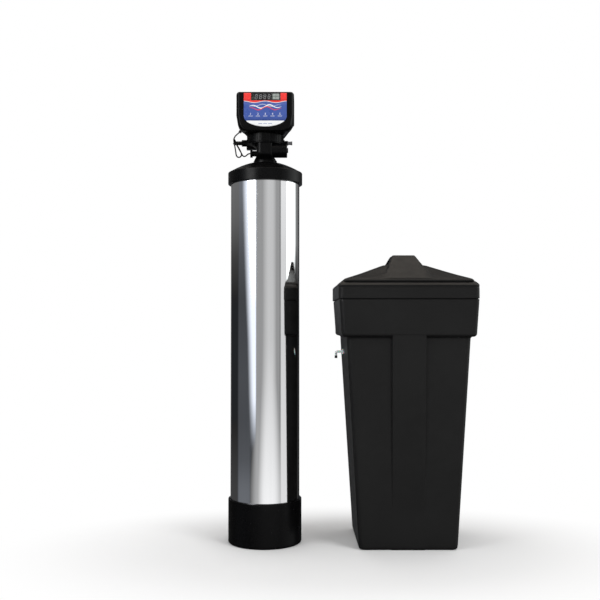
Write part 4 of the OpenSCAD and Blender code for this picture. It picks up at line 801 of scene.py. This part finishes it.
def headRow(v, y, side=0.0, top=0.0, low=0.0, scale=1.0):
    # The outline at a depth, drawn in at the sides, top and floor, and scaled about its middle.
    middle = (v["floor"] + v["top"]) / 2
    p = headOutline(v, side, top, low, max(0, (y - v["part"]) / (v["rear"] - v["part"])))
    x, z = v["centre"] + p[:, 0] * scale, middle + (p[:, 1] - middle) * scale
    return np.stack([x, np.full(len(p), y), z], -1)


def rounded(face, depth, insets, count):
    # Rows round an edge: the depth goes in by 1 - cosine and each inset shrinks by 1 - sine.
    return [(face + depth * (1 - np.cos(q)), *(inset * (1 - np.sin(q)) for inset in insets))
            for q in sweep(count)]


def headShell(v, outer, inner):
    # Rows of the outline from the outer middle over the rim to the inner middle make one closed
    # wall. Grip grooves press the outer rows' sides in between two heights and two depths.
    points = np.array([headRow(v, *row) for row in outer])
    x, y, z = (points[..., k] for k in range(3))
    near, far = (v["front"] + reach for reach in v["grooveReach"])
    reach = np.clip((y - near) / v["grooveEnds"], 0, 1) * np.clip((far - y) / v["grooveEnds"], 0, 1)
    away, limit = np.abs(x - v["centre"]), v["halfWidth"] - v["grooveDepth"]
    for k in range(v["grooveCount"]):
        foot = v["grooveFoot"] + k * v["groovePitch"]
        inside = np.clip((z - foot) / v["grooveSides"], 0, 1)
        inside = inside * np.clip((foot + v["grooveHeight"] - z) / v["grooveSides"], 0, 1) * reach
        away = away - (away - np.minimum(away, limit)) * inside
    points[..., 0] = np.sign(x - v["centre"]) * away + v["centre"]
    return looseObject(gridMesh(np.concatenate([points, [headRow(v, *row) for row in inner]])))


def makeHeadFront(v, w):
    # The front face in rings, its rounded edge and the straight sides, then back along the inside.
    front, ledge, play = v["front"], w["ledge"], w["play"]
    insets = (v["roundSide"], v["roundTop"], v["roundLow"])
    outer = [(front, *insets, k) for k in (0, 0.3, 0.6, 0.85, 0.96)]
    outer += rounded(front, v["roundDepth"], insets, 18) + [(y,) for y in v["frontSides"]]
    outer += [(v["part"] - gap, inset, inset, inset) for gap, inset in v["partEdge"]]
    inner = [(y, *(v["wall"] + more for more in past)) for y, *past in v["frontInside"]]
    cover = headShell(v, outer, inner + [(*inner[-1], 0)])
    cutAway(cover, boxAt((w["left"] + ledge, front - 2, w["low"] + ledge),
                         (w["right"] - ledge, front + 5, w["high"] - ledge)))
    cutAway(cover, boxAt((w["left"] - play, front - 2, w["low"] - play),
                         (w["right"] + play, front + w["step"], w["high"] + play), 0.3))
    addPiece("headFront", takeMesh(cover), "black_plastic", replaces=["head_cover"], sharp=24)


def makeHeadRear(v):
    # The same from behind, with holes for the shaft, the lead and the four screws.
    t, part, rear, r = v["wall"], v["part"], v["rear"], v["rearRound"]
    outer = [(rear, r, r, r, k) for k in (0, 0.35, 0.7, 0.93)]
    outer += rounded(rear, -r, (r, r, r), 8)
    outer += [(y,) for y in np.linspace(rear - 8, part + 1.4, 16)] + [(part + 0.9,)]
    outer += [(part + gap, inset, inset, inset) for gap, inset in v["partEdge"]]
    inner = [(y, t, t, t + 1) for y in (part + v["partGap"], part + 30, rear - t)]
    base = headShell(v, outer, inner + [(rear - t, t, t, t + 1, 0)])
    radius, x, y = v["shaft"]
    cutAway(base, cylinderAt(radius, (x, y, v["floor"] - 4), (0, 0, 1), 12))
    radius, x, z = v["lead"]
    holes = [(radius, x, v["floor"] + z)]
    holes += [(v["screwHole"], v["centre"] + x, z) for x, z in v["screws"]]
    for radius, x, z in holes:
        cutAway(base, cylinderAt(radius, (x, rear - 8, z), (0, 1, 0), 12))
    addPiece("headRear", takeMesh(base), "black_plastic", replaces=["head_base"], sharp=24)


def makeRearRibs(v):
    # Vertical grip ribs on the back, and the turned bosses that the screws sit in.
    rib = blockGrid(v["ribSize"], v["ribCorner"])
    rib += (v["centre"] + v["ribFirst"], v["rear"] + v["ribLift"], v["knee"] + v["ribRise"])
    parts = [gridMesh(rib + (v["ribPitch"] * k, 0, 0)) for k in range(v["ribCount"])]
    foot = v["part"] + v["bossFoot"]
    length = v["rear"] - v["wall"] - foot
    ring = closedProfile(v["screwHole"], [(v["bossRadius"], 0), (v["bossRadius"], length)])
    parts += [turnedMesh(ring, 32, (v["centre"] + x, foot, z), (0, 1, 0)) for x, z in v["screws"]]
    addPiece("rearRibs", joinMeshes(parts), "black_plastic")


makeHeadFront(head, displayWindow)
makeHeadRear(head)
makeRearRibs(head)
print("head: valve neck and shells")

# Face label

label = {
    "centre": 3, "halfWidth": 79, "top": 1659.6, "middle": 1573.1, "curve": 38, "front": -85.8,
    "thickness": 0.78, "lift": 0.06, "bandFoot": 1631.6, "windowGap": 0.3, "waveFoot": 1626,
    "waveHeight": 3, "footerTop": 1556, "rule": 1.8,
    "ribbonTurns": 64, "ribbonHalf": 60,
    # finish, name, height, swing, start in turns, thickness
    "ribbons": [("labelWhite", "White", 1609, 6.5, 0, 4.4),
                ("labelRed", "Red", 1602, 6.5, 0.16, 3.2),
                ("labelWhite", "Pale", 1613, 4.5, 0.4, 1.4)],
    "numberSize": 11.2, "numberDepth": 0.05, "numberFoot": 1578, "numberPitch": 27,
    "footerBars": (-18, 0, 18),
    "footerBar": (7, 1545.2, 1546.8), "cycleBar": (8, 1573.0, 1574.4),  # half width, foot, top
}


def labelSheet(name, v, x, low, high, finish, lift=0.0):
    # A flat sheet between two heights for each place across, with its thickness behind it.
    s = np.linspace(0, 1, 5)[:, None]
    z = np.broadcast_to(low, x.shape) * (1 - s) + np.broadcast_to(high, x.shape) * s
    points = np.stack([np.broadcast_to(x, z.shape), np.full(z.shape, v["front"] - lift), z], -1)
    mesh = gridMesh(points, wrapAcross=False)
    piece = addPiece(name, mesh, finish, outwards=False)
    step = piece.modifiers.new("thickness", "SOLIDIFY")
    step.thickness = (lift * 0.9 if lift else v["thickness"]) * mm
    step.offset = -1
    return piece


def labelBar(name, v, middle, bar, finish):
    half, low, high = bar
    labelSheet(name, v, np.linspace(middle - half, middle + half, 6), low, high, finish, v["lift"])


def makeLabelField(v, window):
    # The field's foot is half an ellipse and its top a cosine wave under the red bands. A white
    # footer fills the ellipse below a level line.
    c, half, rule, top, lift = v["centre"], v["halfWidth"], v["rule"] / 2, v["footerTop"], v["lift"]

    def foot(x):
        return v["middle"] - v["curve"] * np.sqrt(np.maximum(0, 1 - ((x - c) / half) ** 2))

    def wave(x):
        return v["waveFoot"] + v["waveHeight"] * np.cos(2 * np.pi * (x - c) / half)

    x = c - half * np.cos(np.linspace(0, np.pi, 90))
    field = labelSheet("labelField", v, x, np.maximum(top + rule, foot(x)), wave(x), "label")
    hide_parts("face_label")
    labelSheet("labelBandLow", v, x, wave(x) + 0.02, v["bandFoot"], "labelRed")
    width = half * math.sqrt(1 - ((v["middle"] - top) / v["curve"]) ** 2)
    x = c - width * np.cos(np.linspace(0, np.pi, 80))
    labelSheet("labelFooter", v, x, np.minimum(foot(x), top - 0.05), top - 0.02, "labelWhite")
    for name, left, right in (("labelBandLeft", c - half, window["left"] - v["windowGap"]),
                              ("labelBandRight", window["right"] + v["windowGap"], c + half)):
        x = np.linspace(left, right, 12)
        labelSheet(name, v, x, v["bandFoot"] + 0.02, v["top"], "labelRed")
    x = np.linspace(c - half + 0.5, c + half - 0.5, 60)
    labelSheet("ruleTop", v, x, wave(x) - rule, wave(x) + rule, "labelWhite", lift)
    x = np.linspace(c - width + 1, c + width - 1, 24)
    labelSheet("ruleLow", v, x, top - rule, top + rule, "labelWhite", lift)


def makeLabelSigns(v):
    # Ribbons like running water are sine waves that grow thin towards both ends. Below them are
    # the numbers of the five cycle positions, each over a short bar, and bars on the footer.
    c = v["centre"]
    x = np.linspace(c - v["ribbonHalf"], c + v["ribbonHalf"], 90)
    fade = np.sqrt(np.maximum(0.004, 1 - ((x - c) / v["ribbonHalf"]) ** 2))
    for k, (finish, name, height, swing, start, thick) in enumerate(v["ribbons"]):
        middle = height + swing * np.sin(2 * np.pi * ((x - c) / v["ribbonTurns"] + start)) * fade
        half, lift = thick / 2 * fade, v["lift"] + 0.05 * k
        labelSheet("ribbon" + name, v, x, middle - half, middle + half, finish, lift)
    for k, across in enumerate(v["footerBars"]):
        labelBar("footerBar" + str(k + 1), v, c + across, v["footerBar"], "label")
    for k in range(5):
        number = bpy.data.curves.new("number", "FONT")
        number.body = str(k + 1)
        number.size = v["numberSize"] * mm
        number.align_x = "CENTER"
        number.extrude = v["numberDepth"] * mm
        holder = newObject("number", number)
        graph = bpy.context.evaluated_depsgraph_get()
        mesh = bpy.data.meshes.new_from_object(holder.evaluated_get(graph))
        bpy.data.objects.remove(holder)
        flat = np.zeros(len(mesh.vertices) * 3)
        mesh.vertices.foreach_get("co", flat)
        x, up, out = flat.reshape(-1, 3).T
        across, front = c + (k - 2) * v["numberPitch"], v["front"] - v["lift"]
        place = np.stack([x + across * mm, front * mm - out, up + v["numberFoot"] * mm], -1)
        mesh.vertices.foreach_set("co", place.reshape(-1))
        addPiece("cycleNumber" + str(k + 1), mesh, "labelWhite")
        labelBar("cycleBar" + str(k + 1), v, across, v["cycleBar"], "labelWhite")


makeLabelField(label, displayWindow)
makeLabelSigns(label)

# Display: lens and digits

digits = {
    "count": 4, "left": -34.6, "foot": 1637, "pitch": 15.6, "width": 9.6, "height": 17.0,
    "bar": 1.9, "gap": 0.35, "slant": 0.12, "faces": (-84.0, -83.4),
    "dotAcross": 28.6, "dotHeights": (5.5, 11.5), "dotRadius": 0.9, "dotSides": 12,
    "panelHalf": (31.5, 4.2, 11), "panelMiddle": (-7, -79.3, 1645.5), "panelCorner": 0.4,
}


def makeLens(v):
    # A thin block with an opening for each key.
    front = v["back"] - v["thickness"]
    back, corner = v["back"], v["corner"]
    lens = boxAt((v["left"], front, v["low"]), (v["right"], back - 0.01, v["high"]), corner)
    wide, high = v["keyHalf"]
    for x in v["keyX"]:
        for z in v["keyZ"]:
            low, top = (x - wide, front - 1, z - high), (x + wide, back + 1, z + high)
            cutAway(lens, boxAt(low, top, corner))
    addPiece("displayLens", takeMesh(lens), "lens", replaces=["display_window"])


def makeDigits(v):
    # Seven bars with pointed ends for each digit, and two dots between the pairs, all slanting:
    # x moves by the slant times the height over the digit's middle.
    panel = blockGrid(v["panelHalf"], v["panelCorner"]) + v["panelMiddle"]
    addPiece("digitPanel", gridMesh(panel), "window", replaces=["digit_module"])
    h, t, gap = v["height"], v["bar"], v["gap"]
    tip, end = t / 2 + gap, t + gap
    bars = []
    for k in range(v["count"]):
        left = v["left"] + v["pitch"] * k
        right = left + v["width"]
        for z in (0, h / 2 - t / 2, h - t):
            bars.append([(left + tip, z + t / 2), (left + end, z), (right - end, z),
                         (right - tip, z + t / 2), (right - end, z + t), (left + end, z + t)])
        for x in (left, right - t):
            for z in (t / 2, h / 2):
                top = z + h / 2 - t / 2
                bars.append([(x + t / 2, z + gap), (x + t, z + tip), (x + t, top - tip),
                             (x + t / 2, top - gap), (x, top - tip), (x, z + tip)])
    for z in v["dotHeights"]:
        a, r = onceRound(v["dotSides"]), v["dotRadius"]
        bars.append(np.stack([v["left"] + v["dotAcross"] + r * np.cos(a), z + r * np.sin(a)], -1))
    parts = []
    for bar in bars:
        x, z = np.array(bar, float).T
        x, z = x + v["slant"] * (z - h / 2), z + v["foot"]
        faces = [np.stack([x, np.full(len(x), y), z], -1) for y in v["faces"]]
        parts.append(gridMesh(capped(np.array(faces))))
    addPiece("digitSegments", joinMeshes(parts), "digits")


makeLens(displayWindow)
makeDigits(digits)
print("head: label and display")

# Salt tank: a tapered wall under a wider collar, with a plane pilaster on the front

saltTank = {
    "centre": (518.9, 32), "footWide": 352, "footDeep": 340, "neckWide": 441, "neckDeep": 400,
    "neckHeight": 763, "corner": 17, "footEdge": 10, "fillet": 7, "step": 19, "wall": 4,
    "floor": 14, "collarWide": 495, "collarDeep": 446, "collarTop": 898, "collarEdge": 3,
    "rimWide": 486, "rimDeep": 437, "rimTop": 935,
    "pilasterHalf": 61, "pilasterRound": 6, "pilasterFoot": 133, "pilasterTop": 782,
    "pilasterReach": 18.4, "pilasterEnd": 774,
    # how far the moulding goes out of square: heights of the body's and the collar's values
    "squareHeights": (740, 790), "leftOut": (4.4, 3), "leftLean": (0.018, 0.0125),
    "rightOut": 3.1,
}


def boxRow(halfWide, halfDeep, corner, height, middle=None):
    # One turn of a rounded rectangle, anticlockwise from above. The front side also holds the given
    # x places, pressed together where it is too short for them.
    wide, deep = halfWide - corner, halfDeep - corner
    side = np.linspace(-1, 1, 26)[1:-1]
    front = side * wide
    if middle is not None:
        reach = min(middle[-1], 0.9 * wide)
        outer = np.linspace(0, 1, 9)[1:-1] * (wide - reach)
        front = np.concatenate([-wide + outer, middle * (reach / middle[-1]), reach + outer])
    runs = [(1, 1, -side * wide, halfDeep), (-1, 1, -halfWide, -side * deep),
            (-1, -1, front, -halfDeep), (1, -1, halfWide, side * deep)]
    parts = []
    for k, (signX, signY, x, y) in enumerate(runs):
        a = sweep(13) + k * np.pi / 2
        turn = signX * wide + corner * np.cos(a), signY * deep + corner * np.sin(a)
        parts += [np.stack(turn, -1), np.stack(np.broadcast_arrays(x, y), -1)]
    flat = np.concatenate(parts)
    return np.column_stack([flat, np.full(len(flat), float(height))])


def shrunk(row, scales):
    # Ever smaller or larger copies of a row about the middle.
    return [row * (s, s, 1) for s in scales]


def drawOut(points, v, right):
    # The moulding isn't quite square: the left half goes outwards, more at the back, and the right
    # half by a little.
    x, y, z = (points[..., k] for k in range(3))
    lean = np.interp(z, v["squareHeights"], v["leftLean"])
    out = np.interp(z, v["squareHeights"], v["leftOut"])
    reach = x / (v["collarWide"] / 2)
    points[..., 0] = x - np.clip(-reach, 0, 1) * (out + lean * y) + np.clip(reach, 0, 1) * right
    return points


def saltWall(v, z):
    # Half width and half depth of the tapered wall at a height.
    t = z / v["neckHeight"]
    return ((v["footWide"] + (v["neckWide"] - v["footWide"]) * t) / 2,
            (v["footDeep"] + (v["neckDeep"] - v["footDeep"]) * t) / 2)


def pilasterDepth(v, x, depth, z):
    # A plane that leans out from the wall, rounded off along both upright edges, less the wall's
    # own depth.
    low = saltWall(v, v["pilasterFoot"])[1]
    high = saltWall(v, v["neckHeight"])[1] + v["pilasterReach"]
    plane = low + (high - low) * (z - v["pilasterFoot"]) / (v["pilasterTop"] - v["pilasterFoot"])
    edge = np.clip(np.abs(x) - (v["pilasterHalf"] - v["pilasterRound"]), 0, v["pilasterRound"])
    drop = v["pilasterRound"] - np.sqrt(v["pilasterRound"] ** 2 - edge ** 2)
    beyond = (np.abs(x) > v["pilasterHalf"] + 0.01) | (z > v["pilasterEnd"]) | (depth < 100)
    return np.where(beyond, 0, np.maximum(plane - drop - depth, 0))


def makeSaltTank(v):
    # Rings go from the middle of the foot up the outside, over the rim and down the inside to the
    # middle of the floor. Round edges are quarter circles of 1 - sine across and 1 - cosine up.
    half, r = v["pilasterHalf"], v["pilasterRound"]
    edge, fillet, step, t = v["footEdge"], v["fillet"], v["step"], v["wall"]
    bend, plane = half - r + r * np.sin(sweep(9)), np.linspace(-half + r, half - r, 12)[1:-1]
    places = np.concatenate([[-half - 0.06], -bend[::-1], plane, bend, [half + 0.06]])
    rows = []

    def ring(wide, deep, z, trim=0):
        rows.append(boxRow(wide, deep, v["corner"] - trim, z, places))

    # Foot and tapered wall
    foot = boxRow(v["footWide"] / 2 - edge, v["footDeep"] / 2 - edge, v["corner"], 0, places)
    rows += shrunk(foot, (0, 0.3, 0.6, 0.85, 0.96, 1))
    for a in sweep(10)[1:]:
        inset = edge * (1 - np.sin(a))
        ring(v["footWide"] / 2 - inset, v["footDeep"] / 2 - inset, edge * (1 - np.cos(a)))
    for z in [*np.linspace(edge + 8, v["pilasterFoot"], 8), *np.linspace(140, 752, 44)]:
        ring(*saltWall(v, z), z)
    # Fillet, round belly and straight side of the collar
    neck, belly = v["neckHeight"], step - fillet
    neckWide, neckDeep = saltWall(v, neck)
    for a in sweep(8):
        z, out = neck - fillet * (1 - np.sin(a)), fillet * (1 - np.cos(a))
        wide, deep = saltWall(v, z)
        ring(wide + out, deep + out, z)
    for a in sweep(12)[1:]:
        out = fillet + belly * np.sin(a)
        ring(neckWide + out, neckDeep + out, neck + belly * (1 - np.cos(a)))
    wide, deep = v["collarWide"] / 2, v["collarDeep"] / 2
    top, bevel = v["collarTop"], v["collarEdge"]
    low = (neckWide + step, neckDeep + step, neck + belly)
    for place in linePoints(low, (wide, deep, top - bevel), 10)[1:]:
        ring(*place)
    outside = len(rows)
    # Top of the collar, and the rim that the lid sits over
    for a in sweep(7)[1:]:
        inset = bevel * (1 - np.cos(a))
        ring(wide - inset, deep - inset, top - bevel + bevel * np.sin(a))
    rimWide, rimDeep, rim = v["rimWide"] / 2, v["rimDeep"] / 2, v["rimTop"]
    for z in (top + 0.02, rim - 12, rim - t / 2):
        ring(rimWide, rimDeep, z, 2)
    for a in sweep(9, 180)[1:-1]:
        inset = t / 2 * (1 - np.cos(a))
        ring(rimWide - inset, rimDeep - inset, rim - t / 2 + t / 2 * np.sin(a), 3)
    # Inside
    for z in (rim - t / 2, top - 4):
        ring(rimWide - t, rimDeep - t, z, 4)
    ring(wide - t, deep - t, top - 8, t)
    ring(neckWide + step - t, neckDeep + step - t, neck + t + belly, t)
    ring(neckWide + fillet - t, neckDeep + fillet - t, neck + t, t)
    for z in np.linspace(neck - 3, v["floor"], 24):
        wide, deep = saltWall(v, z)
        ring(wide - t, deep - t, z, t)
    for a in sweep(6)[1:]:
        inset = edge * (1 - np.cos(a))
        ring(wide - t - inset, deep - t - inset, v["floor"] - edge * np.sin(a), t)
    rows += shrunk(rows[-1], (0.9, 0.6, 0.3, 0))
    points = np.array(rows)
    x, y, z = (points[:outside, :, k] for k in range(3))
    points[:outside, :, 1] = y - pilasterDepth(v, x, -y, z)
    points = drawOut(points, v, v["rightOut"])
    points[..., :2] += v["centre"]
    addPiece("saltTankShell", gridMesh(points), "salt_black", replaces=["salt_tank"], sharp=40)


makeSaltTank(saltTank)

# Salt tank's lid

saltLid = {
    "wide": 501.5, "deep": 454, "corner": 19, "low": 899.6, "skirtTop": 945, "wall": 3.5,
    "riserWide": 467.5, "riserDeep": 424, "riserTop": 967, "roofWide": 152, "roofDeep": 144,
    "roofTop": 1028, "ridgeWide": (180, 82), "ridgeDeep": (416, 104), "ridgeHeights": (970, 1066),
    # the creases and flat top of the roof, those of the ridge, and the valley between the two
    "rounding": (8, 4, 7, 6, 4),
    "roofStep": (2.8, 1.6, 46), "wallSlope": 1.05, "rings": 110, "hollowRings": 70,
    "pocketPlace": (74, 1039), "pocketHalf": (40, 39, 11), "pocketCorners": (3, 6),
    "seat": (935.3, 939.3), "seatOut": 8, "seatIn": 9, "seatCorners": (20, 22),
    # The shoulder's profile. The cove, on the front and back only: height over the skirt's top and
    # share of its depth. The ledge and the riser: inset, height over the skirt's top or the riser's
    # top, and how much higher the same line runs along the two sides. The lip: inset past the
    # ledge and height over the riser's top.
    "coveDepth": 2.3, "cove": [(-8.6, 0), (-7.6, 0.8), (-6.6, 1), (0.2, 0.3), (1.6, 0)],
    "ledge": [(0.4, 2.8, 1), (1.4, 3.7, 2), (3, 4.7, 3), (8, 7.4, 5), (14.5, 11, 5.6),
              (17.5, 12.2, 5.6), (19.4, 12.7, 5.4), (20.4, 13.2, 5), (20.6, 14, 4.4)],
    "riser": [(19.4, -6, 1.4), (17.6, -5.2, 0.4)],
    "lip": [(-0.1, -4.2), (0, -2.8), (0.6, -1.5), (1.4, -0.4), (2.2, 0.3), (2.8, 0.6)],
}


def softMin(a, b, reach):
    # The lesser of two heights, with their crease rounded over the given reach.
    h = np.maximum(reach - np.abs(a - b), 0) / reach
    return np.minimum(a, b) - h * h * reach / 4


def lidHeight(v, x, y, drop):
    # A four sided roof and the steeper hand ridge that runs over it from front to back. Each is
    # the least of its slopes and its flat top, and the lid is the greater of the two.
    x, y = np.abs(x), np.abs(y)
    roofCrease, roofFlat, ridgeCrease, ridgeFlat, valley = v["rounding"]
    wide, deep = v["riserWide"] / 2 - 3, v["riserDeep"] / 2 - 3
    rise = v["roofTop"] - v["riserTop"]
    roof = softMin(v["riserTop"] + rise * (wide - x) / (wide - v["roofWide"] / 2),
                   v["riserTop"] + rise * (deep - y) / (deep - v["roofDeep"] / 2), roofCrease)
    roof = softMin(roof, float(v["roofTop"]), roofFlat)
    low, high = v["ridgeHeights"]
    (footWide, topWide), (footDeep, topDeep) = v["ridgeWide"], v["ridgeDeep"]
    rise = 2 * (high - low)
    ridge = softMin(low + rise * (footWide / 2 - x) / (footWide - topWide),
                    low + rise * (footDeep / 2 - y) / (footDeep - topDeep), ridgeCrease)
    ridge = softMin(ridge, float(high), ridgeFlat)
    return -softMin(-roof, -ridge, valley) - drop


def lidRows(v, t, count):
    # Rounded rectangles up the skirt, over its chamfer, up the undercut riser and its lip, then
    # ever smaller ones over the roof to its middle. t is nought outside, and the wall for the
    # hollow. Outside, the roof starts with a low step: height * (1 - e to the power of
    # -(away / near) squared) * e to the power of -(away / far) squared.
    wide, deep, r = v["wide"] / 2 - t, v["deep"] / 2 - t, v["corner"] - t
    rise, riseDeep = v["riserWide"] / 2 - t, v["riserDeep"] / 2 - t
    low, top, riserTop = v["low"], v["skirtTop"] - t, v["riserTop"] - t
    foot = low - (2 if t else 0)
    rows = shrunk(boxRow(wide - 1, deep - 1, r, foot), (0, 0.5, 0.9, 1))
    rows += [boxRow(wide, deep, r, z) for z in (foot + 1, low + 14, low + 28)]
    ledge, cove = wide - rise, 0 if t else v["coveDepth"]
    steps = [(0, top + z, 0, cove * share) for z, share in v["cove"]]
    steps += [(inset, top + z, lift, 0) for inset, z, lift in v["ledge"]]
    steps += [(inset, riserTop + z, lift, 0) for inset, z, lift in v["riser"]]
    steps += [(ledge + inset, riserTop + z, 0, 0) for inset, z in v["lip"]]
    for inset, z, lift, extra in steps:
        depth = deep - inset * (deep - riseDeep) / ledge - extra
        row = boxRow(wide - inset, depth, r - min(8, inset * 0.45), z)
        row[:, 2] += lift * np.clip((np.abs(row[:, 0]) - wide + inset + 16) / 16, 0, 1) ** 2
        rows.append(row)
    height, near, far = v["roofStep"]
    height = 0 if t else height
    edge = boxRow(rise - 3, riseDeep - 3, r - 8, riserTop)
    for s in np.linspace(1, 0, count):
        row, away = edge * (s, s, 1), (1 - s) * rise
        bulge = height * (1 - math.exp(-(away / near) ** 2)) * math.exp(-(away / far) ** 2)
        row[:, 2] = lidHeight(v, row[:, 0], row[:, 1], t * v["wallSlope"]) + bulge
        rows.append(row)
    return np.array(rows)


def makeSaltLid(v, box):
    # The outer form less its hollow. A hand pocket goes in on each side of the ridge, and a frame
    # stays in the hollow that rests on the tank's rim.
    outer = looseObject(gridMesh(lidRows(v, 0, v["rings"])))
    hollow = looseObject(gridMesh(lidRows(v, v["wall"], v["hollowRings"])))
    (across, up), half, t = v["pocketPlace"], np.array(v["pocketHalf"], float), v["wall"]
    pocketCorner, wallCorner = v["pocketCorners"]
    for side in (-1, 1):
        place = np.array([side * across, 0, up])
        cutAway(outer, boxAt(place - half, place + half, pocketCorner))
        cutAway(hollow, boxAt(place - half - t, place + half + t, wallCorner))
    low, high = v["seat"]
    outerCorner, innerCorner = v["seatCorners"]
    wide = (v["wide"] / 2 + v["seatOut"], v["deep"] / 2 + v["seatOut"], outerCorner)
    gap = (box["rimWide"] / 2 - v["seatIn"], box["rimDeep"] / 2 - v["seatIn"], innerCorner)
    seat = [boxRow(*wide, low), boxRow(*wide, high), boxRow(*gap, high), boxRow(*gap, low)]
    cutAway(hollow, looseObject(gridMesh(np.array(seat), wrapAlong=True)))
    cutAway(outer, hollow)
    mesh = takeMesh(outer)
    place = np.empty(len(mesh.vertices) * 3, np.float32)
    mesh.vertices.foreach_get("co", place)
    place = drawOut(place.reshape(-1, 3) / mm, box, 0) + np.array([*box["centre"], 0])
    mesh.vertices.foreach_set("co", (place * mm).astype(np.float32).ravel())
    mesh.update()
    addPiece("saltLidShell", mesh, "salt_black", body="lid", replaces=["salt_lid"], sharp=30,
             outwards=False)


makeSaltLid(saltLid, saltTank)

# Overflow: pipe with its bend, flange on the tank's wall, stem through it and a rubber end

overflow = {
    "radius": 4.4, "bore": 3, "inside": 319.84, "down": 267.34, "height": 704, "end": 684,
    "bend": 6, "flange": (10.5, 290.6, 295.4), "stem": 8, "stemLap": 0.5, "wallLap": 1,
    "sleeve": [(4.8, 679.6), (5.2, 680), (5.2, 683.4), (4.9, 683.6), (5.2, 683.8), (5.2, 688.8),
               (4.8, 689.3), (4.45, 689.3), (4.45, 684)],  # radius and height
}


def makeOverflow(v, across):
    # A tube along a line that turns down through a quarter circle, with turned parts round it.
    down, up, bend = v["down"], v["height"], v["bend"]
    a = sweep(12)[1:]
    x = [*np.linspace(v["inside"], down + bend, 6), *(down + bend * (1 - np.sin(a))), down, down]
    z = [*np.full(6, up), *(up - bend * (1 - np.cos(a))), up - bend - 2, v["end"]]
    pipe = tubeMesh(np.stack([x, np.full(len(x), across), z], -1), v["radius"], 40, v["bore"])
    r, low, high = v["flange"]
    hole, wide = v["radius"] - v["wallLap"], high - low
    profile = closedProfile(hole, [(r - 0.8, 0), (r, 0.8), (r, wide - 0.6), (r - 0.6, wide)])
    flange = turnedMesh(profile, 64, (low, across, up), (1, 0, 0))
    profile = closedProfile(hole, [(v["stem"], 0), (v["stem"], v["inside"] - high)])
    stem = turnedMesh(profile, 64, (high - v["stemLap"], across, up), (1, 0, 0))
    addPiece("overflowPipe", joinMeshes([pipe, flange, stem]), "clear_plastic",
             replaces=["overflow_elbow"])
    sleeve = turnedMesh(closedProfile(v["bore"], v["sleeve"]), 48, (down, across, 0))
    addPiece("overflowSleeve", sleeve, "rubber", replaces=["overflow_sleeve"])


makeOverflow(overflow, saltTank["centre"][1])
print("salt tank: tank, lid and overflow")
